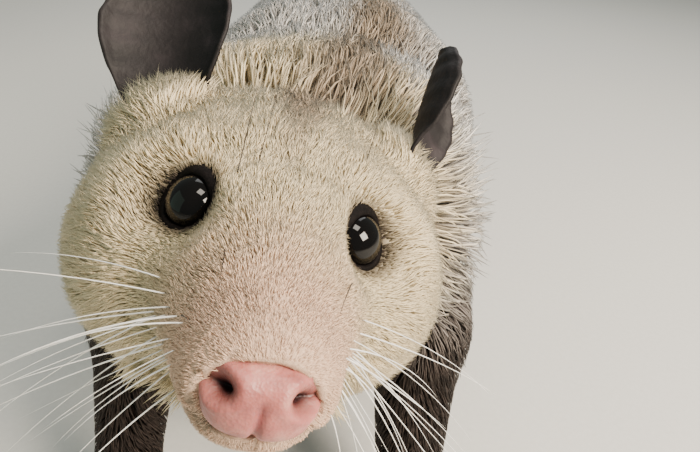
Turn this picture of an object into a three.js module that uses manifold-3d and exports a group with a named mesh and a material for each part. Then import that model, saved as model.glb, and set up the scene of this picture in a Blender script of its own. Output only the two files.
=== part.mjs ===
// An adult Virginia opossum, life size, standing on all four feet with its head raised and turned to look up.
// Millimetres, +Z up. The animal faces -Y, its left side is +X, and its feet and tail rest on Z = 0.
import * as THREE from 'three';
import { mergeVertices } from 'three/addons/utils/BufferGeometryUtils.js';
import Module from 'manifold-3d';

const wasm = await Module();
wasm.setup();

// Driving sizes, over the coat
const EYE_CENTRE = [11, -190, 190];
const HEAD_YAW = 10;
const HEAD_PITCH = 20;
const HEAD_ROLL = 14;
const EYE_SPACING = 41;
const EYE_RADIUS = 6.6;
const MUZZLE_REACH = 50;
const CHEEK_HALF_WIDTH = 48;
const BACK_HEIGHT = 198;
const BELLY_HEIGHT = 64;
const BODY_HALF_WIDTH = 78;
const STANCE_HALF_WIDTH = 60;
const EAR_LENGTH = 44;
const EAR_WIDTH = 38;
const WRIST_CUT = 23;
const GAP = 0.3;

// The long coat: how far its tips stand out from the core, and the size of a lock
const CORE_DEPTH = 12;
const CORE_FADE = 45;
const LOCK = { length: 70, halfWidth: 24, thickness: 2.4, sink: 6, steps: 3, sides: 3 };

// Grid cells of the smooth bodies
const BODY_CELL = 14;
const HEAD_CELL = 5.5;
const FINEST_EDGES = [0.1, 0.05, 0.15, 0.2, 0.3, 0.02, 0.4, 0.5];

const SIDES = { left: 1, right: -1 };

// Colours and finishes
const finish = (colour, roughness) => new THREE.MeshStandardMaterial({ color: colour, roughness, metalness: 0 });
const FACE_COAT = finish(0xd8cbb2, 0.85);
const BODY_COAT = finish(0xa9a49d, 0.9);
const DARK_COAT = finish(0x3b3230, 0.9);
const PINK_SKIN = finish(0xcf9088, 0.5);
const EAR_SKIN = finish(0x3f3a40, 0.6);
const TAIL_SKIN = finish(0xb7a497, 0.7);
const EYE_BLACK = finish(0x0a0a0d, 0.05);

const v = (x, y, z) => new THREE.Vector3(x, y, z);

// Smooth fields: each gives about how far a point is outside a form
const ball = ([cx, cy, cz], [rx, ry, rz]) => (x, y, z) => {
  const [px, py, pz] = [(x - cx) / rx, (y - cy) / ry, (z - cz) / rz];
  const near = Math.hypot(px, py, pz);
  const slope = Math.hypot(px / rx, py / ry, pz / rz);
  return slope > 0 ? (near * (near - 1)) / slope : -Math.min(rx, ry, rz);
};

const bone = ([ax, ay, az], [bx, by, bz], startRadius, endRadius) => {
  const [dx, dy, dz] = [bx - ax, by - ay, bz - az];
  const length2 = dx * dx + dy * dy + dz * dz;
  return (x, y, z) => {
    const along = ((x - ax) * dx + (y - ay) * dy + (z - az) * dz) / length2;
    const t = Math.min(1, Math.max(0, along));
    const away = Math.hypot(x - ax - dx * t, y - ay - dy * t, z - az - dz * t);
    return away - startRadius - (endRadius - startRadius) * t;
  };
};

const blend = (softness, ...fields) => (x, y, z) => {
  let sum = Infinity;
  for (const field of fields) {
    const d = field(x, y, z);
    const overlap = sum === Infinity ? 0 : Math.max(softness - Math.abs(sum - d), 0) / softness;
    sum = Math.min(sum, d) - (overlap * overlap * softness) / 4;
  }
  return sum;
};

const carve = (softness, field, hollow) => (x, y, z) => {
  const [form, cut] = [field(x, y, z), -hollow(x, y, z)];
  const overlap = Math.max(softness - Math.abs(form - cut), 0) / softness;
  return Math.max(form, cut) + (overlap * overlap * softness) / 4;
};

const bothSides = (field) => (x, y, z) => field(Math.abs(x), y, z);

// Head, in its own frame: origin midway between the eyes, nose towards -Y
const HEAD_TURN = new THREE.Matrix4().makeRotationFromEuler(
  new THREE.Euler(
    THREE.MathUtils.degToRad(-HEAD_PITCH),
    THREE.MathUtils.degToRad(HEAD_ROLL),
    THREE.MathUtils.degToRad(HEAD_YAW),
    'ZXY',
  ),
);
const HEAD_PLACE = HEAD_TURN.clone().setPosition(...EYE_CENTRE);
const HEAD_BACK = HEAD_PLACE.clone().invert();
const onHead = (x, y, z) => v(x, y, z).applyMatrix4(HEAD_PLACE);
const headward = (x, y, z) => v(x, y, z).transformDirection(HEAD_PLACE);

const muzzleTip = [0, -MUZZLE_REACH + 6, -15];
const skull = ball([0, 28, -3], [37, 40, 26]);
const cheeks = bothSides(ball([CHEEK_HALF_WIDTH - 23, 24, -16], [23, 34, 27]));
const face = ball([0, 4, -12], [25, 33, 18]);
const brows = bothSides(bone([12, 13, 4], [20, 10, 4], 5, 4));
const earMounds = bothSides(ball([30, 38, 4], [16, 17, 18]));
const orbits = bothSides(ball([EYE_SPACING / 2 + 5.2, -5.2, 5.1], [8.5, 8.5, 8.5]));
const muzzle = bone([0, -8, -11], muzzleTip, 20, 10.5);
const lips = bothSides(bone([12, 2, -20], [5, -42, -18], 10, 6));
const jaw = bone([0, 26, -30], [0, -36, -24], 17, 7);
const headForms = [skull, face, cheeks, muzzle, lips, jaw, brows, earMounds];
const headField = carve(5, blend(11, ...headForms), orbits);
const headInWorld = (x, y, z) => {
  const p = v(x, y, z).applyMatrix4(HEAD_BACK);
  return headField(p.x, p.y, p.z);
};

// Body and legs, in the part's frame
const mirrored = (point, side) => [point[0] * side, point[1], point[2]];
const shifted = (point, side, rumpShift) => [point[0] * side + rumpShift, point[1], point[2]];
const RUMP_SHIFT = 8;
const midHeight = (BACK_HEIGHT + BELLY_HEIGHT) / 2;
const halfHeight = (BACK_HEIGHT - BELLY_HEIGHT) / 2;

const occiput = onHead(0, 46, -10).toArray();
const neckFront = onHead(0, 26, -22).toArray();
const neckRoot = [0, -100, 138];
const WITHERS = ball([0, -70, midHeight - 4], [BODY_HALF_WIDTH - 8, 72, halfHeight - 4]);
const shoulderOf = (side) => ball([side * 48, -78, 144], [29, 42, 42]);
const trunk = blend(
  30,
  WITHERS,
  shoulderOf(1),
  shoulderOf(-1),
  ball([12, 20, midHeight], [BODY_HALF_WIDTH + 2, 105, halfHeight]),
  ball([RUMP_SHIFT, 120, midHeight - 3], [BODY_HALF_WIDTH - 6, 84, halfHeight - 2]),
);
const neck = blend(20, bone(neckFront, neckRoot, 36, 54), bone(occiput, neckRoot, 36, 50));
const tailRoot = bone([RUMP_SHIFT, 175, 142], [10, 222, 122], 30, 14);

const FORELEG = {
  shoulder: [50, -92, 122],
  elbow: [60, -106, 90],
  wrist: [STANCE_HALF_WIDTH - 1, -150, 26],
  hand: [STANCE_HALF_WIDTH - 2, -156, 12],
};
const HINDLEG = {
  hip: [46, 126, 118],
  knee: [62, 84, 78],
  hock: [STANCE_HALF_WIDTH - 4, 134, 28],
  heel: [STANCE_HALF_WIDTH - 4, 136, 12],
};
const foreleg = (side) =>
  blend(
    14,
    bone(mirrored(FORELEG.shoulder, side), mirrored(FORELEG.elbow, side), 29, 20),
    bone(mirrored(FORELEG.elbow, side), mirrored(FORELEG.wrist, side), 20, 12),
    bone(mirrored(FORELEG.wrist, side), mirrored(FORELEG.hand, side), 12, 11),
  );
const hindleg = (side) =>
  blend(
    14,
    bone(shifted(HINDLEG.hip, side, RUMP_SHIFT), shifted(HINDLEG.knee, side, RUMP_SHIFT), 39, 27),
    bone(shifted(HINDLEG.knee, side, RUMP_SHIFT), shifted(HINDLEG.hock, side, RUMP_SHIFT), 24, 13),
    bone(shifted(HINDLEG.hock, side, RUMP_SHIFT), shifted(HINDLEG.heel, side, RUMP_SHIFT), 12, 11),
  );
const trunkForms = blend(34, trunk, neck, tailRoot);
const legForms = [foreleg(1), foreleg(-1), hindleg(1), hindleg(-1)];
const wholeField = blend(12, blend(18, trunkForms, ...legForms), headInWorld);

// The long coat's locks stand out from a core, which runs up to the outline at the head and at the tail's root
const NECK_FRONT = { point: onHead(0, 50, -8).toArray(), outward: headward(0, 1, -0.35).toArray() };
const TAIL_CUT = { point: [9, 214, 126], outward: [0.05, 0.9, -0.45] };
const past = ({ point, outward }, [x, y, z]) => {
  const n = v(...outward).normalize();
  return n.x * (x - point[0]) + n.y * (y - point[1]) + n.z * (z - point[2]);
};
const coreDepth = (x, y, z) => {
  const behind = THREE.MathUtils.smoothstep(past(NECK_FRONT, [x, y, z]), 0, CORE_FADE);
  const before = THREE.MathUtils.smoothstep(-past(TAIL_CUT, [x, y, z]), 0, CORE_FADE);
  return CORE_DEPTH * behind * before;
};
const bodyCore = blend(18, (x, y, z) => trunkForms(x, y, z) + coreDepth(x, y, z), ...legForms);
const coreField = blend(12, bodyCore, headInWorld);

// The closed surface where a field is zero, on a grid, with its vertices moved onto the field
function surfaceOf(field, low, high, cell) {
  const count = low.map((start, axis) => Math.ceil((high[axis] - start) / cell) + 1);
  const step = [1, count[0], count[0] * count[1]];
  const corner = (i, j, k) => i + j * step[1] + k * step[2];
  const values = new Float64Array(count[0] * count[1] * count[2]);
  for (let k = 0; k < count[2]; k++) {
    for (let j = 0; j < count[1]; j++) {
      for (let i = 0; i < count[0]; i++) {
        const rim = [i, j, k].some((n, axis) => n === 0 || n === count[axis] - 1);
        const value = field(low[0] + i * cell, low[1] + j * cell, low[2] + k * cell);
        values[corner(i, j, k)] = rim ? Math.max(value, cell / 2) : value;
      }
    }
  }
  const positions = [];
  const vertexOf = new Map();
  const offsets = [0, 1, 2, 3, 4, 5, 6, 7].map((n) => [n & 1, (n >> 1) & 1, n >> 2]);
  for (let k = 0; k < count[2] - 1; k++) {
    for (let j = 0; j < count[1] - 1; j++) {
      for (let i = 0; i < count[0] - 1; i++) {
        const here = offsets.map(([a, b, c]) => values[corner(i + a, j + b, k + c)]);
        if (here.every((d) => d < 0) || here.every((d) => d >= 0)) continue;
        const middle = v(0, 0, 0);
        let crossings = 0;
        for (let a = 0; a < 8; a++) {
          for (const bit of [1, 2, 4]) {
            if (a & bit || here[a] < 0 === here[a | bit] < 0) continue;
            const t = here[a] / (here[a] - here[a | bit]);
            const [from, to] = [v(...offsets[a]), v(...offsets[a | bit])];
            middle.add(from.lerp(to, t));
            crossings++;
          }
        }
        middle.divideScalar(crossings).add(v(i, j, k)).multiplyScalar(cell).add(v(...low));
        const inner = [i, j, k].every((n, axis) => n > 0 && n < count[axis] - 2);
        if (inner) settle(middle, field, cell / 3);
        vertexOf.set(corner(i, j, k), positions.length / 3);
        positions.push(...middle);
      }
    }
  }
  const index = [];
  const apart = (a, b) =>
    Math.hypot(...[0, 1, 2].map((n) => positions[3 * a + n] - positions[3 * b + n]));
  for (const axis of [0, 1, 2]) {
    const [b, c] = [(axis + 1) % 3, (axis + 2) % 3];
    for (let k = 0; k < count[2]; k++) {
      for (let j = 0; j < count[1]; j++) {
        for (let i = 0; i < count[0]; i++) {
          const place = [i, j, k];
          if (place[axis] === count[axis] - 1 || !place[b] || !place[c]) continue;
          const at = corner(i, j, k);
          const inside = values[at] < 0;
          if (inside === values[at + step[axis]] < 0) continue;
          const cells = [at - step[b] - step[c], at - step[c], at, at - step[b]];
          const quad = cells.map((n) => vertexOf.get(n));
          if (!inside) quad.reverse();
          const [p, q, r, s] = quad;
          if (apart(p, r) < apart(q, s)) index.push(p, q, r, p, r, s);
          else index.push(p, q, s, q, r, s);
        }
      }
    }
  }
  return new THREE.BufferGeometry()
    .setAttribute('position', new THREE.Float32BufferAttribute(positions, 3))
    .setIndex(index);
}

// Moves a point onto a field's zero by a few short steps
function settle(point, field, reach) {
  const probe = 0.5;
  for (let round = 0; round < 3; round++) {
    const d = field(...point);
    const slope = v(
      field(point.x + probe, point.y, point.z) - d,
      field(point.x, point.y + probe, point.z) - d,
      field(point.x, point.y, point.z + probe) - d,
    ).divideScalar(probe);
    const step = -d / Math.max(slope.lengthSq(), 0.25);
    point.addScaledVector(slope, THREE.MathUtils.clamp(step, -reach, reach));
  }
  return point;
}

// Solids: a closed geometry as a body that can be joined and cut
function solidOf(geometry) {
  const bare = new THREE.BufferGeometry().setAttribute('position', geometry.getAttribute('position'));
  if (geometry.index) bare.setIndex(geometry.index);
  const merged = mergeVertices(bare, 1e-4);
  const kept = [];
  const all = merged.index.array;
  for (let i = 0; i < all.length; i += 3) {
    const [a, b, c] = [all[i], all[i + 1], all[i + 2]];
    if (a !== b && b !== c && a !== c) kept.push(a, b, c);
  }
  const make = (triangles) =>
    new wasm.Manifold(
      new wasm.Mesh({
        numProp: 3,
        vertProperties: merged.attributes.position.array,
        triVerts: new Uint32Array(triangles),
      }),
    );
  const made = make(kept);
  if (made.volume() >= 0) return made;
  for (let i = 0; i < kept.length; i += 3) [kept[i + 1], kept[i + 2]] = [kept[i + 2], kept[i + 1]];
  return make(kept);
}

const joined = (solids) => solids.reduce((sum, solid) => sum.add(solid));

// A closed body made from a cylinder whose every vertex is placed anew: t runs along it, x and z across it
function shaped(sides, steps, place) {
  const geometry = new THREE.CylinderGeometry(1, 1, 1, sides, steps);
  const position = geometry.getAttribute('position');
  for (let i = 0; i < position.count; i++) {
    const t = 0.5 - position.getY(i);
    position.setXYZ(i, ...place(t, position.getX(i), position.getZ(i)));
  }
  return geometry;
}

// A round tube along a smooth curve, its radius read from a list by its place along the curve
function tube(points, radii, sides, steps, flatness = 1) {
  const curve = new THREE.CatmullRomCurve3(points.map((p) => v(...p)));
  const radiusAt = (t) => {
    const place = t * (radii.length - 1);
    const first = Math.min(Math.floor(place), radii.length - 2);
    return THREE.MathUtils.lerp(radii[first], radii[first + 1], place - first);
  };
  return shaped(sides, steps, (t, x, z) => {
    const along = curve.getTangentAt(t);
    const across = v(0, 0, 1).cross(along).normalize();
    const up = along.clone().cross(across);
    const r = radiusAt(t);
    return curve.getPointAt(t).addScaledVector(across, x * r).addScaledVector(up, z * r * flatness);
  });
}

// A box that holds all that lies beyond a plane, for cutting
const FAR = 600;
function beyond(point, outward, grow = 0) {
  const n = v(...outward).normalize();
  const turn = new THREE.Quaternion().setFromUnitVectors(v(0, 0, 1), n);
  const centre = v(...point).addScaledVector(n, FAR / 2 - grow);
  const box = new THREE.BoxGeometry(FAR, FAR, FAR);
  box.applyQuaternion(turn).translate(...centre);
  return solidOf(box);
}

const crate = (low, high) =>
  solidOf(
    new THREE.BoxGeometry(high[0] - low[0], high[1] - low[1], high[2] - low[2]).translate(
      (low[0] + high[0]) / 2,
      (low[1] + high[1]) / 2,
      (low[2] + high[2]) / 2,
    ),
  );

const belowFloor = crate([-FAR, -FAR, -FAR], [FAR, FAR, 0]);

function largest(solid) {
  const pieces = solid.decompose();
  return pieces.reduce((best, piece) => (piece.volume() > best.volume() ? piece : best));
}

// How many edges don't have exactly two triangles once vertices at one place count as one
function looseEdges({ numProp, numVert, vertProperties, triVerts }) {
  const places = new Map();
  const idOf = [];
  for (let i = 0; i < numVert; i++) {
    const key = [0, 1, 2].map((n) => Math.round(vertProperties[i * numProp + n] * 1e4)).join();
    if (!places.has(key)) places.set(key, places.size);
    idOf.push(places.get(key));
  }
  const uses = new Map();
  for (let i = 0; i < triVerts.length; i += 3) {
    const [a, b, c] = [0, 1, 2].map((n) => idOf[triVerts[i + n]]);
    if (a === b || b === c || a === c) continue;
    for (const ends of [[a, b], [b, c], [c, a]]) {
      const key = ends.sort((p, q) => p - q).join();
      uses.set(key, (uses.get(key) ?? 0) + 1);
    }
  }
  return [...uses.values()].filter((count) => count !== 2).length;
}

// The solid's mesh with its slivers taken out, in the first way that leaves every edge sound
function soundMesh(solid) {
  let best = null;
  for (const edge of FINEST_EDGES) {
    const mesh = largest(solid.simplify(edge)).getMesh();
    const loose = looseEdges(mesh);
    if (!best || loose < best.loose) best = { mesh, loose };
    if (!loose) break;
  }
  return best.mesh;
}

const group = new THREE.Group();
function addNode(name, solid, material) {
  const { numProp, numVert, vertProperties, triVerts } = soundMesh(solid);
  const positions = new Float32Array(numVert * 3);
  for (let i = 0; i < numVert; i++) {
    positions.set(vertProperties.subarray(i * numProp, i * numProp + 3), i * 3);
  }
  const geometry = new THREE.BufferGeometry()
    .setAttribute('position', new THREE.BufferAttribute(positions, 3))
    .setIndex(new THREE.BufferAttribute(triVerts, 1));
  geometry.computeVertexNormals();
  const mesh = new THREE.Mesh(geometry, material);
  mesh.name = name;
  group.add(mesh);
}

const under = (solid) => solid.subtract(belowFloor);

// Tail: one tapered tube that comes down to the floor and curls to the right
const TAIL_PATH = [
  [8, 196, 134],
  [10, 236, 112],
  [10, 276, 68],
  [4, 314, 24],
  [-18, 352, 8],
  [-58, 382, 6],
  [-102, 382, 5],
  [-134, 356, 4],
];
const TAIL_RADII = [15, 13.5, 12, 10.5, 9, 7.5, 6, 3];
const tailTube = (grow) => under(solidOf(tube(TAIL_PATH, TAIL_RADII.map((r) => r + grow), 11, 30)));
const tail = tailTube(0);

// Cuts: planes where the neck leaves the head and the torso, and where each leg leaves the trunk
const NECK_BACK = { point: [0, -100, 150], outward: [0, 0.86, -0.5] };
const FORELEG_CUT = { point: [46, -108, 98], outward: [0.78, -0.42, -0.46] };
const HINDLEG_CUT = { point: [44, 112, 92], outward: [0.84, -0.1, -0.54] };

const onSide = ({ point, outward }, side, shift = 0) => ({
  point: [point[0] * side + shift, point[1], point[2]],
  outward: [outward[0] * side, outward[1], outward[2]],
});

const behindHead = beyond(NECK_FRONT.point, NECK_FRONT.outward, -GAP);
const wholeBody = solidOf(surfaceOf(coreField, [-115, -200, 4], [125, 250, 220], BODY_CELL));
const body = wholeBody.intersect(behindHead);
const aboveWrist = (grow) => crate([-FAR, -FAR, WRIST_CUT + grow], [FAR, FAR, FAR]);

function legCutter(cut, side, shift, low, high, grow) {
  const plane = onSide(cut, side, shift);
  return beyond(plane.point, plane.outward, grow).intersect(
    crate(
      low.map((n) => n - grow),
      high.map((n) => n + grow),
    ),
  );
}
const foreCutter = (side, grow) => legCutter(FORELEG_CUT, side, 0, [-FAR, -172, -10], [FAR, -20, 134], grow);
const hindCutter = (side, grow) => {
  const half = side > 0 ? [[0, 30, -10], [FAR, 190, 170]] : [[-FAR, 30, -10], [0, 190, 170]];
  return legCutter(HINDLEG_CUT, side, RUMP_SHIFT, ...half, grow);
};

let trunkSolid = body;
for (const side of Object.values(SIDES)) {
  trunkSolid = trunkSolid.subtract(foreCutter(side, GAP)).subtract(hindCutter(side, GAP));
}
const trunkBehindNeck = beyond(NECK_BACK.point, NECK_BACK.outward);
const tailRegion = beyond(TAIL_CUT.point, TAIL_CUT.outward, GAP);
const torsoCore = trunkSolid.intersect(trunkBehindNeck).subtract(tailRegion);
const neckCore = trunkSolid.subtract(beyond(NECK_BACK.point, NECK_BACK.outward, GAP));

// The coat's lie: back along the body, and more and more downwards on its sides
let seed = 17;
const random = (low, high) => {
  seed = (seed * 16807) % 2147483647;
  return low + ((high - low) * seed) / 2147483647;
};
const slopeOf = (field, p) => {
  const [probe, d] = [1, field(...p)];
  return v(field(p.x + probe, p.y, p.z) - d, field(p.x, p.y + probe, p.z) - d, field(p.x, p.y, p.z + probe) - d)
    .normalize();
};
const lieAt = (p, fall) => {
  const normal = slopeOf(wholeField, p);
  const sideways = Math.hypot(normal.x, normal.z) > 0 ? Math.abs(normal.x) : 0;
  const along = v(0, 1, -fall * sideways);
  return along.addScaledVector(normal, -along.dot(normal)).normalize();
};

// One lock: flat, widest near its root, and bending from inside the core out to the coat's outline at its tip
function lock({ root, size, fall, twist, tipRise }) {
  const level = (t) => THREE.MathUtils.lerp(-CORE_DEPTH - LOCK.sink, tipRise, Math.min(1, t * 1.15) ** 0.75);
  const stations = [];
  let place = root.clone();
  for (let n = 0; n <= LOCK.steps; n++) {
    const t = n / LOCK.steps;
    const lie = lieAt(place, fall);
    const normal = slopeOf(wholeField, place);
    lie.applyAxisAngle(normal, twist * t);
    const centre = settle(place.clone(), (x, y, z) => wholeField(x, y, z) - level(t), 14);
    stations.push({ centre, normal, across: lie.clone().cross(normal) });
    place = place.clone().addScaledVector(lie, (size * LOCK.length) / LOCK.steps);
  }
  const widths = [0.6, 1, 0.72, 0.1];
  return solidOf(
    shaped(LOCK.sides, LOCK.steps, (t, x, z) => {
      const n = Math.round(t * LOCK.steps);
      const { centre, normal, across } = stations[n];
      const half = size * LOCK.halfWidth * widths[n];
      const bend = (half * half * x * x) / 130;
      const thick = LOCK.thickness * (1.25 - t) * z;
      return centre.clone().addScaledVector(across, x * half).addScaledVector(normal, thick - bend);
    }),
  );
}

// Roots in rings round the body, each ring shifted by half a step against the last
function ringRoots({ centre, right, up, count, shift }) {
  const roots = [];
  for (let n = 0; n < count; n++) {
    const angle = ((n + shift + random(-0.16, 0.16)) / count) * 2 * Math.PI;
    const ray = v(0, 0, 0).addScaledVector(right, Math.sin(angle)).addScaledVector(up, Math.cos(angle));
    const p = centre.clone();
    for (let round = 0; round < 24; round++) p.addScaledVector(ray, -(wholeField(...p) + CORE_DEPTH) * 0.8);
    roots.push(p);
  }
  return roots;
}
const inLeg = (p) => {
  const side = Math.sign(p.x) || 1;
  const fore = past(onSide(FORELEG_CUT, side), p) > -4 && p.y > -176 && p.y < -16 && p.z < 138;
  const hind = past(onSide(HINDLEG_CUT, side, RUMP_SHIFT), p) > -4 && p.y > 26 && p.y < 194;
  return fore || hind;
};
const vary = (root, fall, scale = 1) => ({
  root,
  fall,
  size: scale * random(0.86, 1.14),
  twist: random(-0.25, 0.25),
  tipRise: random(-1.5, 1.5),
});

const RING_STEP = 42;
const torsoRings = [];
for (let y = -86; y < 205; y += RING_STEP) {
  const centre = v((RUMP_SHIFT * (y + 60)) / 260, y, y > 150 ? midHeight + 8 : midHeight - 2);
  const count = y > 160 ? 7 : 9;
  torsoRings.push({ centre, right: v(1, 0, 0), up: v(0, 0, 1), count, shift: (torsoRings.length % 2) / 2 });
}
const inTorso = (p) =>
  !inLeg(p.toArray()) && past(NECK_BACK, p.toArray()) > 5 && past(TAIL_CUT, p.toArray()) < -14;
const torsoLocks = torsoRings.flatMap(ringRoots).filter(inTorso).map((root) => vary(root, 0.55));

const neckAxis = v(...NECK_BACK.point).sub(v(...NECK_FRONT.point)).normalize();
const neckRight = v(0, 0, 1).cross(neckAxis).negate().normalize();
const neckUp = neckRight.clone().cross(neckAxis).normalize();
const neckCentre = v(...NECK_FRONT.point).addScaledVector(neckAxis, 26).add(v(0, 0, -14));
const neckRing = { centre: neckCentre, right: neckRight, up: neckUp, count: 16, shift: 0.25 };
const inNeck = (p) =>
  !inLeg(p.toArray()) && past(NECK_BACK, p.toArray()) < -6 && past(NECK_FRONT, p.toArray()) > 9;
const neckLocks = ringRoots(neckRing).filter(inNeck).map((root) => vary(root, 0.4, 0.66));

const CLEAR = 0.45;
const coated = (core, locks) => locks.reduce((sum, one) => sum.add(lock(one)), core);
const besideLegs = (solid) =>
  Object.values(SIDES).reduce((rest, side) => rest.subtract(foreCutter(side, GAP)).subtract(hindCutter(side, GAP)), solid);
const roundTail = tailTube(2 * CLEAR).intersect(beyond(TAIL_CUT.point, TAIL_CUT.outward, CLEAR));
const coatedTorso = besideLegs(coated(torsoCore, torsoLocks)).intersect(trunkBehindNeck);
addNode('torso', coatedTorso.subtract(roundTail), BODY_COAT);
const coatedNeck = besideLegs(coated(neckCore, neckLocks)).subtract(beyond(NECK_BACK.point, NECK_BACK.outward, GAP));
addNode('neck', coatedNeck, BODY_COAT);

for (const [name, side] of Object.entries(SIDES)) {
  addNode(`foreleg_${name}`, body.intersect(foreCutter(side, 0)).intersect(aboveWrist(0)), DARK_COAT);
  addNode(`hindleg_${name}`, body.intersect(hindCutter(side, 0)).intersect(aboveWrist(0)), DARK_COAT);
}

// Feet: a palm or sole with its toes and claws, flat underneath where it meets the floor
const PAW = { toeRadius: 3.4, clawLength: 7, sides: 5, steps: 3 };
function toe(start, heading, length, radius, claw) {
  const out = v(Math.sin(heading), -Math.cos(heading), 0);
  const at = (far, height) => v(...start).addScaledVector(out, far).setZ(height).toArray();
  const radii = [radius * 1.1, radius * 0.95, radius, radius * 0.5];
  const path = [at(0, 7), at(length * 0.4, 7), at(length * 0.75, 4.4), at(length, radius * 0.9)];
  const pieces = [solidOf(tube(path, radii, PAW.sides, PAW.steps))];
  if (claw) {
    const hook = [at(length - 3, 4.2), at(length + claw * 0.5, 4.6), at(length + claw, 1.4)];
    pieces.push(solidOf(tube(hook, [1.7, 1.3, 0.35], 3, 2)));
  }
  return joined(pieces);
}

const FORE_TOES = [-62, -30, -4, 22, 52];
const FORE_TOE_LENGTHS = [15, 20, 22, 20, 15];
function forepaw(side) {
  const [x, y] = [side * FORELEG.hand[0], FORELEG.hand[1]];
  const wrist = mirrored(FORELEG.wrist, side);
  const palm = new THREE.SphereGeometry(1, 10, 5).scale(12.5, 15, 10).translate(x, y - 8, 7);
  const stalk = tube([[wrist[0], wrist[1] + 4, WRIST_CUT + 6], [x, y + 1, 12], [x, y - 4, 8]], [11, 11, 9], 8, 2);
  const toes = FORE_TOES.map((angle, n) => {
    const heading = THREE.MathUtils.degToRad(angle * side);
    const root = [x + 9 * Math.sin(heading), y - 10 - 7 * Math.cos(heading), 0];
    return toe(root, heading, FORE_TOE_LENGTHS[n], PAW.toeRadius, PAW.clawLength);
  });
  return under(joined([solidOf(palm), solidOf(stalk), ...toes]));
}

const HIND_TOES = [-8, 8, 24, 40];
const HIND_TOE_LENGTHS = [20, 22, 21, 18];
function hindfoot(side) {
  const [x, y] = [side * HINDLEG.heel[0] + RUMP_SHIFT, HINDLEG.heel[1]];
  const hock = shifted(HINDLEG.hock, side, RUMP_SHIFT);
  const solePath = [[x, y + 9, 8], [x, y - 12, 9], [x + side * 2, y - 34, 8], [x + side * 3, y - 46, 6]];
  const sole = tube(solePath, [6, 12, 13, 11, 5], 9, 5, 0.8);
  const stalk = tube([[hock[0], hock[1] - 2, WRIST_CUT + 6], [x, y - 2, 14], [x, y - 4, 8]], [11, 11, 9], 8, 2);
  const toes = HIND_TOES.map((angle, n) => {
    const heading = THREE.MathUtils.degToRad(angle * side);
    const root = [x + side * 3 + 11 * Math.sin(heading - side * 0.25), y - 40, 0];
    return toe(root, heading, HIND_TOE_LENGTHS[n], PAW.toeRadius, PAW.clawLength);
  });
  const thumb = toe([x - side * 6, y - 24, 0], THREE.MathUtils.degToRad(-72 * side), 19, 4.4, 0);
  return under(joined([solidOf(sole), solidOf(stalk), ...toes, thumb]));
}

const belowWrist = crate([-FAR, -FAR, -1], [FAR, FAR, WRIST_CUT - GAP]);
for (const [name, side] of Object.entries(SIDES)) {
  addNode(`forepaw_${name}`, forepaw(side).intersect(belowWrist), PINK_SKIN);
  addNode(`hindfoot_${name}`, hindfoot(side).intersect(belowWrist), PINK_SKIN);
}

// The tail's three lengths
const MIDDLE_CUT = { point: [9, 290, 52], outward: [-0.1, 0.62, -0.78] };
const TIP_CUT = { point: [-40, 372, 7], outward: [-0.9, 0.44, 0] };
const behind = (cut, grow) => beyond(cut.point, cut.outward, grow);
addNode('tail_base', tail.intersect(behind(TAIL_CUT, 0)).subtract(behind(MIDDLE_CUT, GAP)), TAIL_SKIN);
addNode('tail_middle', tail.intersect(behind(MIDDLE_CUT, 0)).subtract(behind(TIP_CUT, GAP)), TAIL_SKIN);
addNode('tail_tip', tail.intersect(behind(TIP_CUT, 0)), TAIL_SKIN);

// Head: its own finer surface, with lids round the eyes, a nose pad, a jaw under the mouth line, and ears
const headCorners = [onHead(-62, -60, -62), onHead(62, 75, 40), onHead(-62, 75, -62), onHead(62, -60, 40)];
const headBox = new THREE.Box3().setFromPoints([...headCorners, onHead(-62, -60, 40), onHead(62, 75, -62)]);
let headSolid = solidOf(surfaceOf(wholeField, headBox.min.toArray(), headBox.max.toArray(), HEAD_CELL));
headSolid = headSolid.subtract(beyond(NECK_FRONT.point, NECK_FRONT.outward, 0));

const EYE_OUTWARD = [0.7, -0.58, 0.42];
const eyeOpening = (side) => [(side * EYE_SPACING) / 2, -1, 2];
const EYE_SINK = 4.6;
const eyeCentre = (side) => {
  const [x, y, z] = eyeOpening(side);
  const [ox, oy, oz] = EYE_OUTWARD;
  return [x - side * ox * EYE_SINK, y - oy * EYE_SINK, z - oz * EYE_SINK];
};
const placeOnHead = (geometry) => geometry.applyMatrix4(HEAD_PLACE);
const sphere = (centre, radius, across, down) =>
  new THREE.SphereGeometry(radius, across, down).translate(...centre);

for (const side of Object.values(SIDES)) {
  const outward = v(side * EYE_OUTWARD[0], EYE_OUTWARD[1], EYE_OUTWARD[2]).normalize();
  const turn = new THREE.Quaternion().setFromUnitVectors(v(0, 0, 1), outward);
  const rim = new THREE.TorusGeometry(5.9, 1.7, 6, 16).scale(1.06, 1, 1).applyQuaternion(turn);
  const open = v(...eyeCentre(side)).addScaledVector(outward, 3.6);
  headSolid = headSolid.add(solidOf(placeOnHead(rim.translate(...open))));
}
for (const [name, side] of Object.entries(SIDES)) {
  const socket = placeOnHead(sphere(eyeCentre(side), EYE_RADIUS + GAP, 12, 8));
  const eye = placeOnHead(sphere(eyeCentre(side), EYE_RADIUS, 12, 8));
  headSolid = headSolid.subtract(solidOf(socket));
  addNode(`eye_${name}`, solidOf(eye), EYE_BLACK);
}

const NOSE_SIZE = [9.3, 7.4, 7.4];
const NOSE_CENTRE = [0, -47, -14.5];
const noseForm = (grow) =>
  solidOf(
    placeOnHead(
      new THREE.SphereGeometry(1, 14, 10).scale(...NOSE_SIZE.map((n) => n + grow)).translate(...NOSE_CENTRE),
    ),
  );
let nose = noseForm(0);
for (const side of Object.values(SIDES)) {
  const nostril = tube(
    [[side * 4.2, -49, -12.5], [side * 6.6, -53, -13.5], [side * 10, -56, -15]],
    [1.2, 1.9, 2.4],
    8,
    3,
  );
  nose = nose.subtract(solidOf(placeOnHead(nostril)));
}
headSolid = headSolid.subtract(noseForm(GAP));
addNode('nose', nose, PINK_SKIN);

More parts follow.
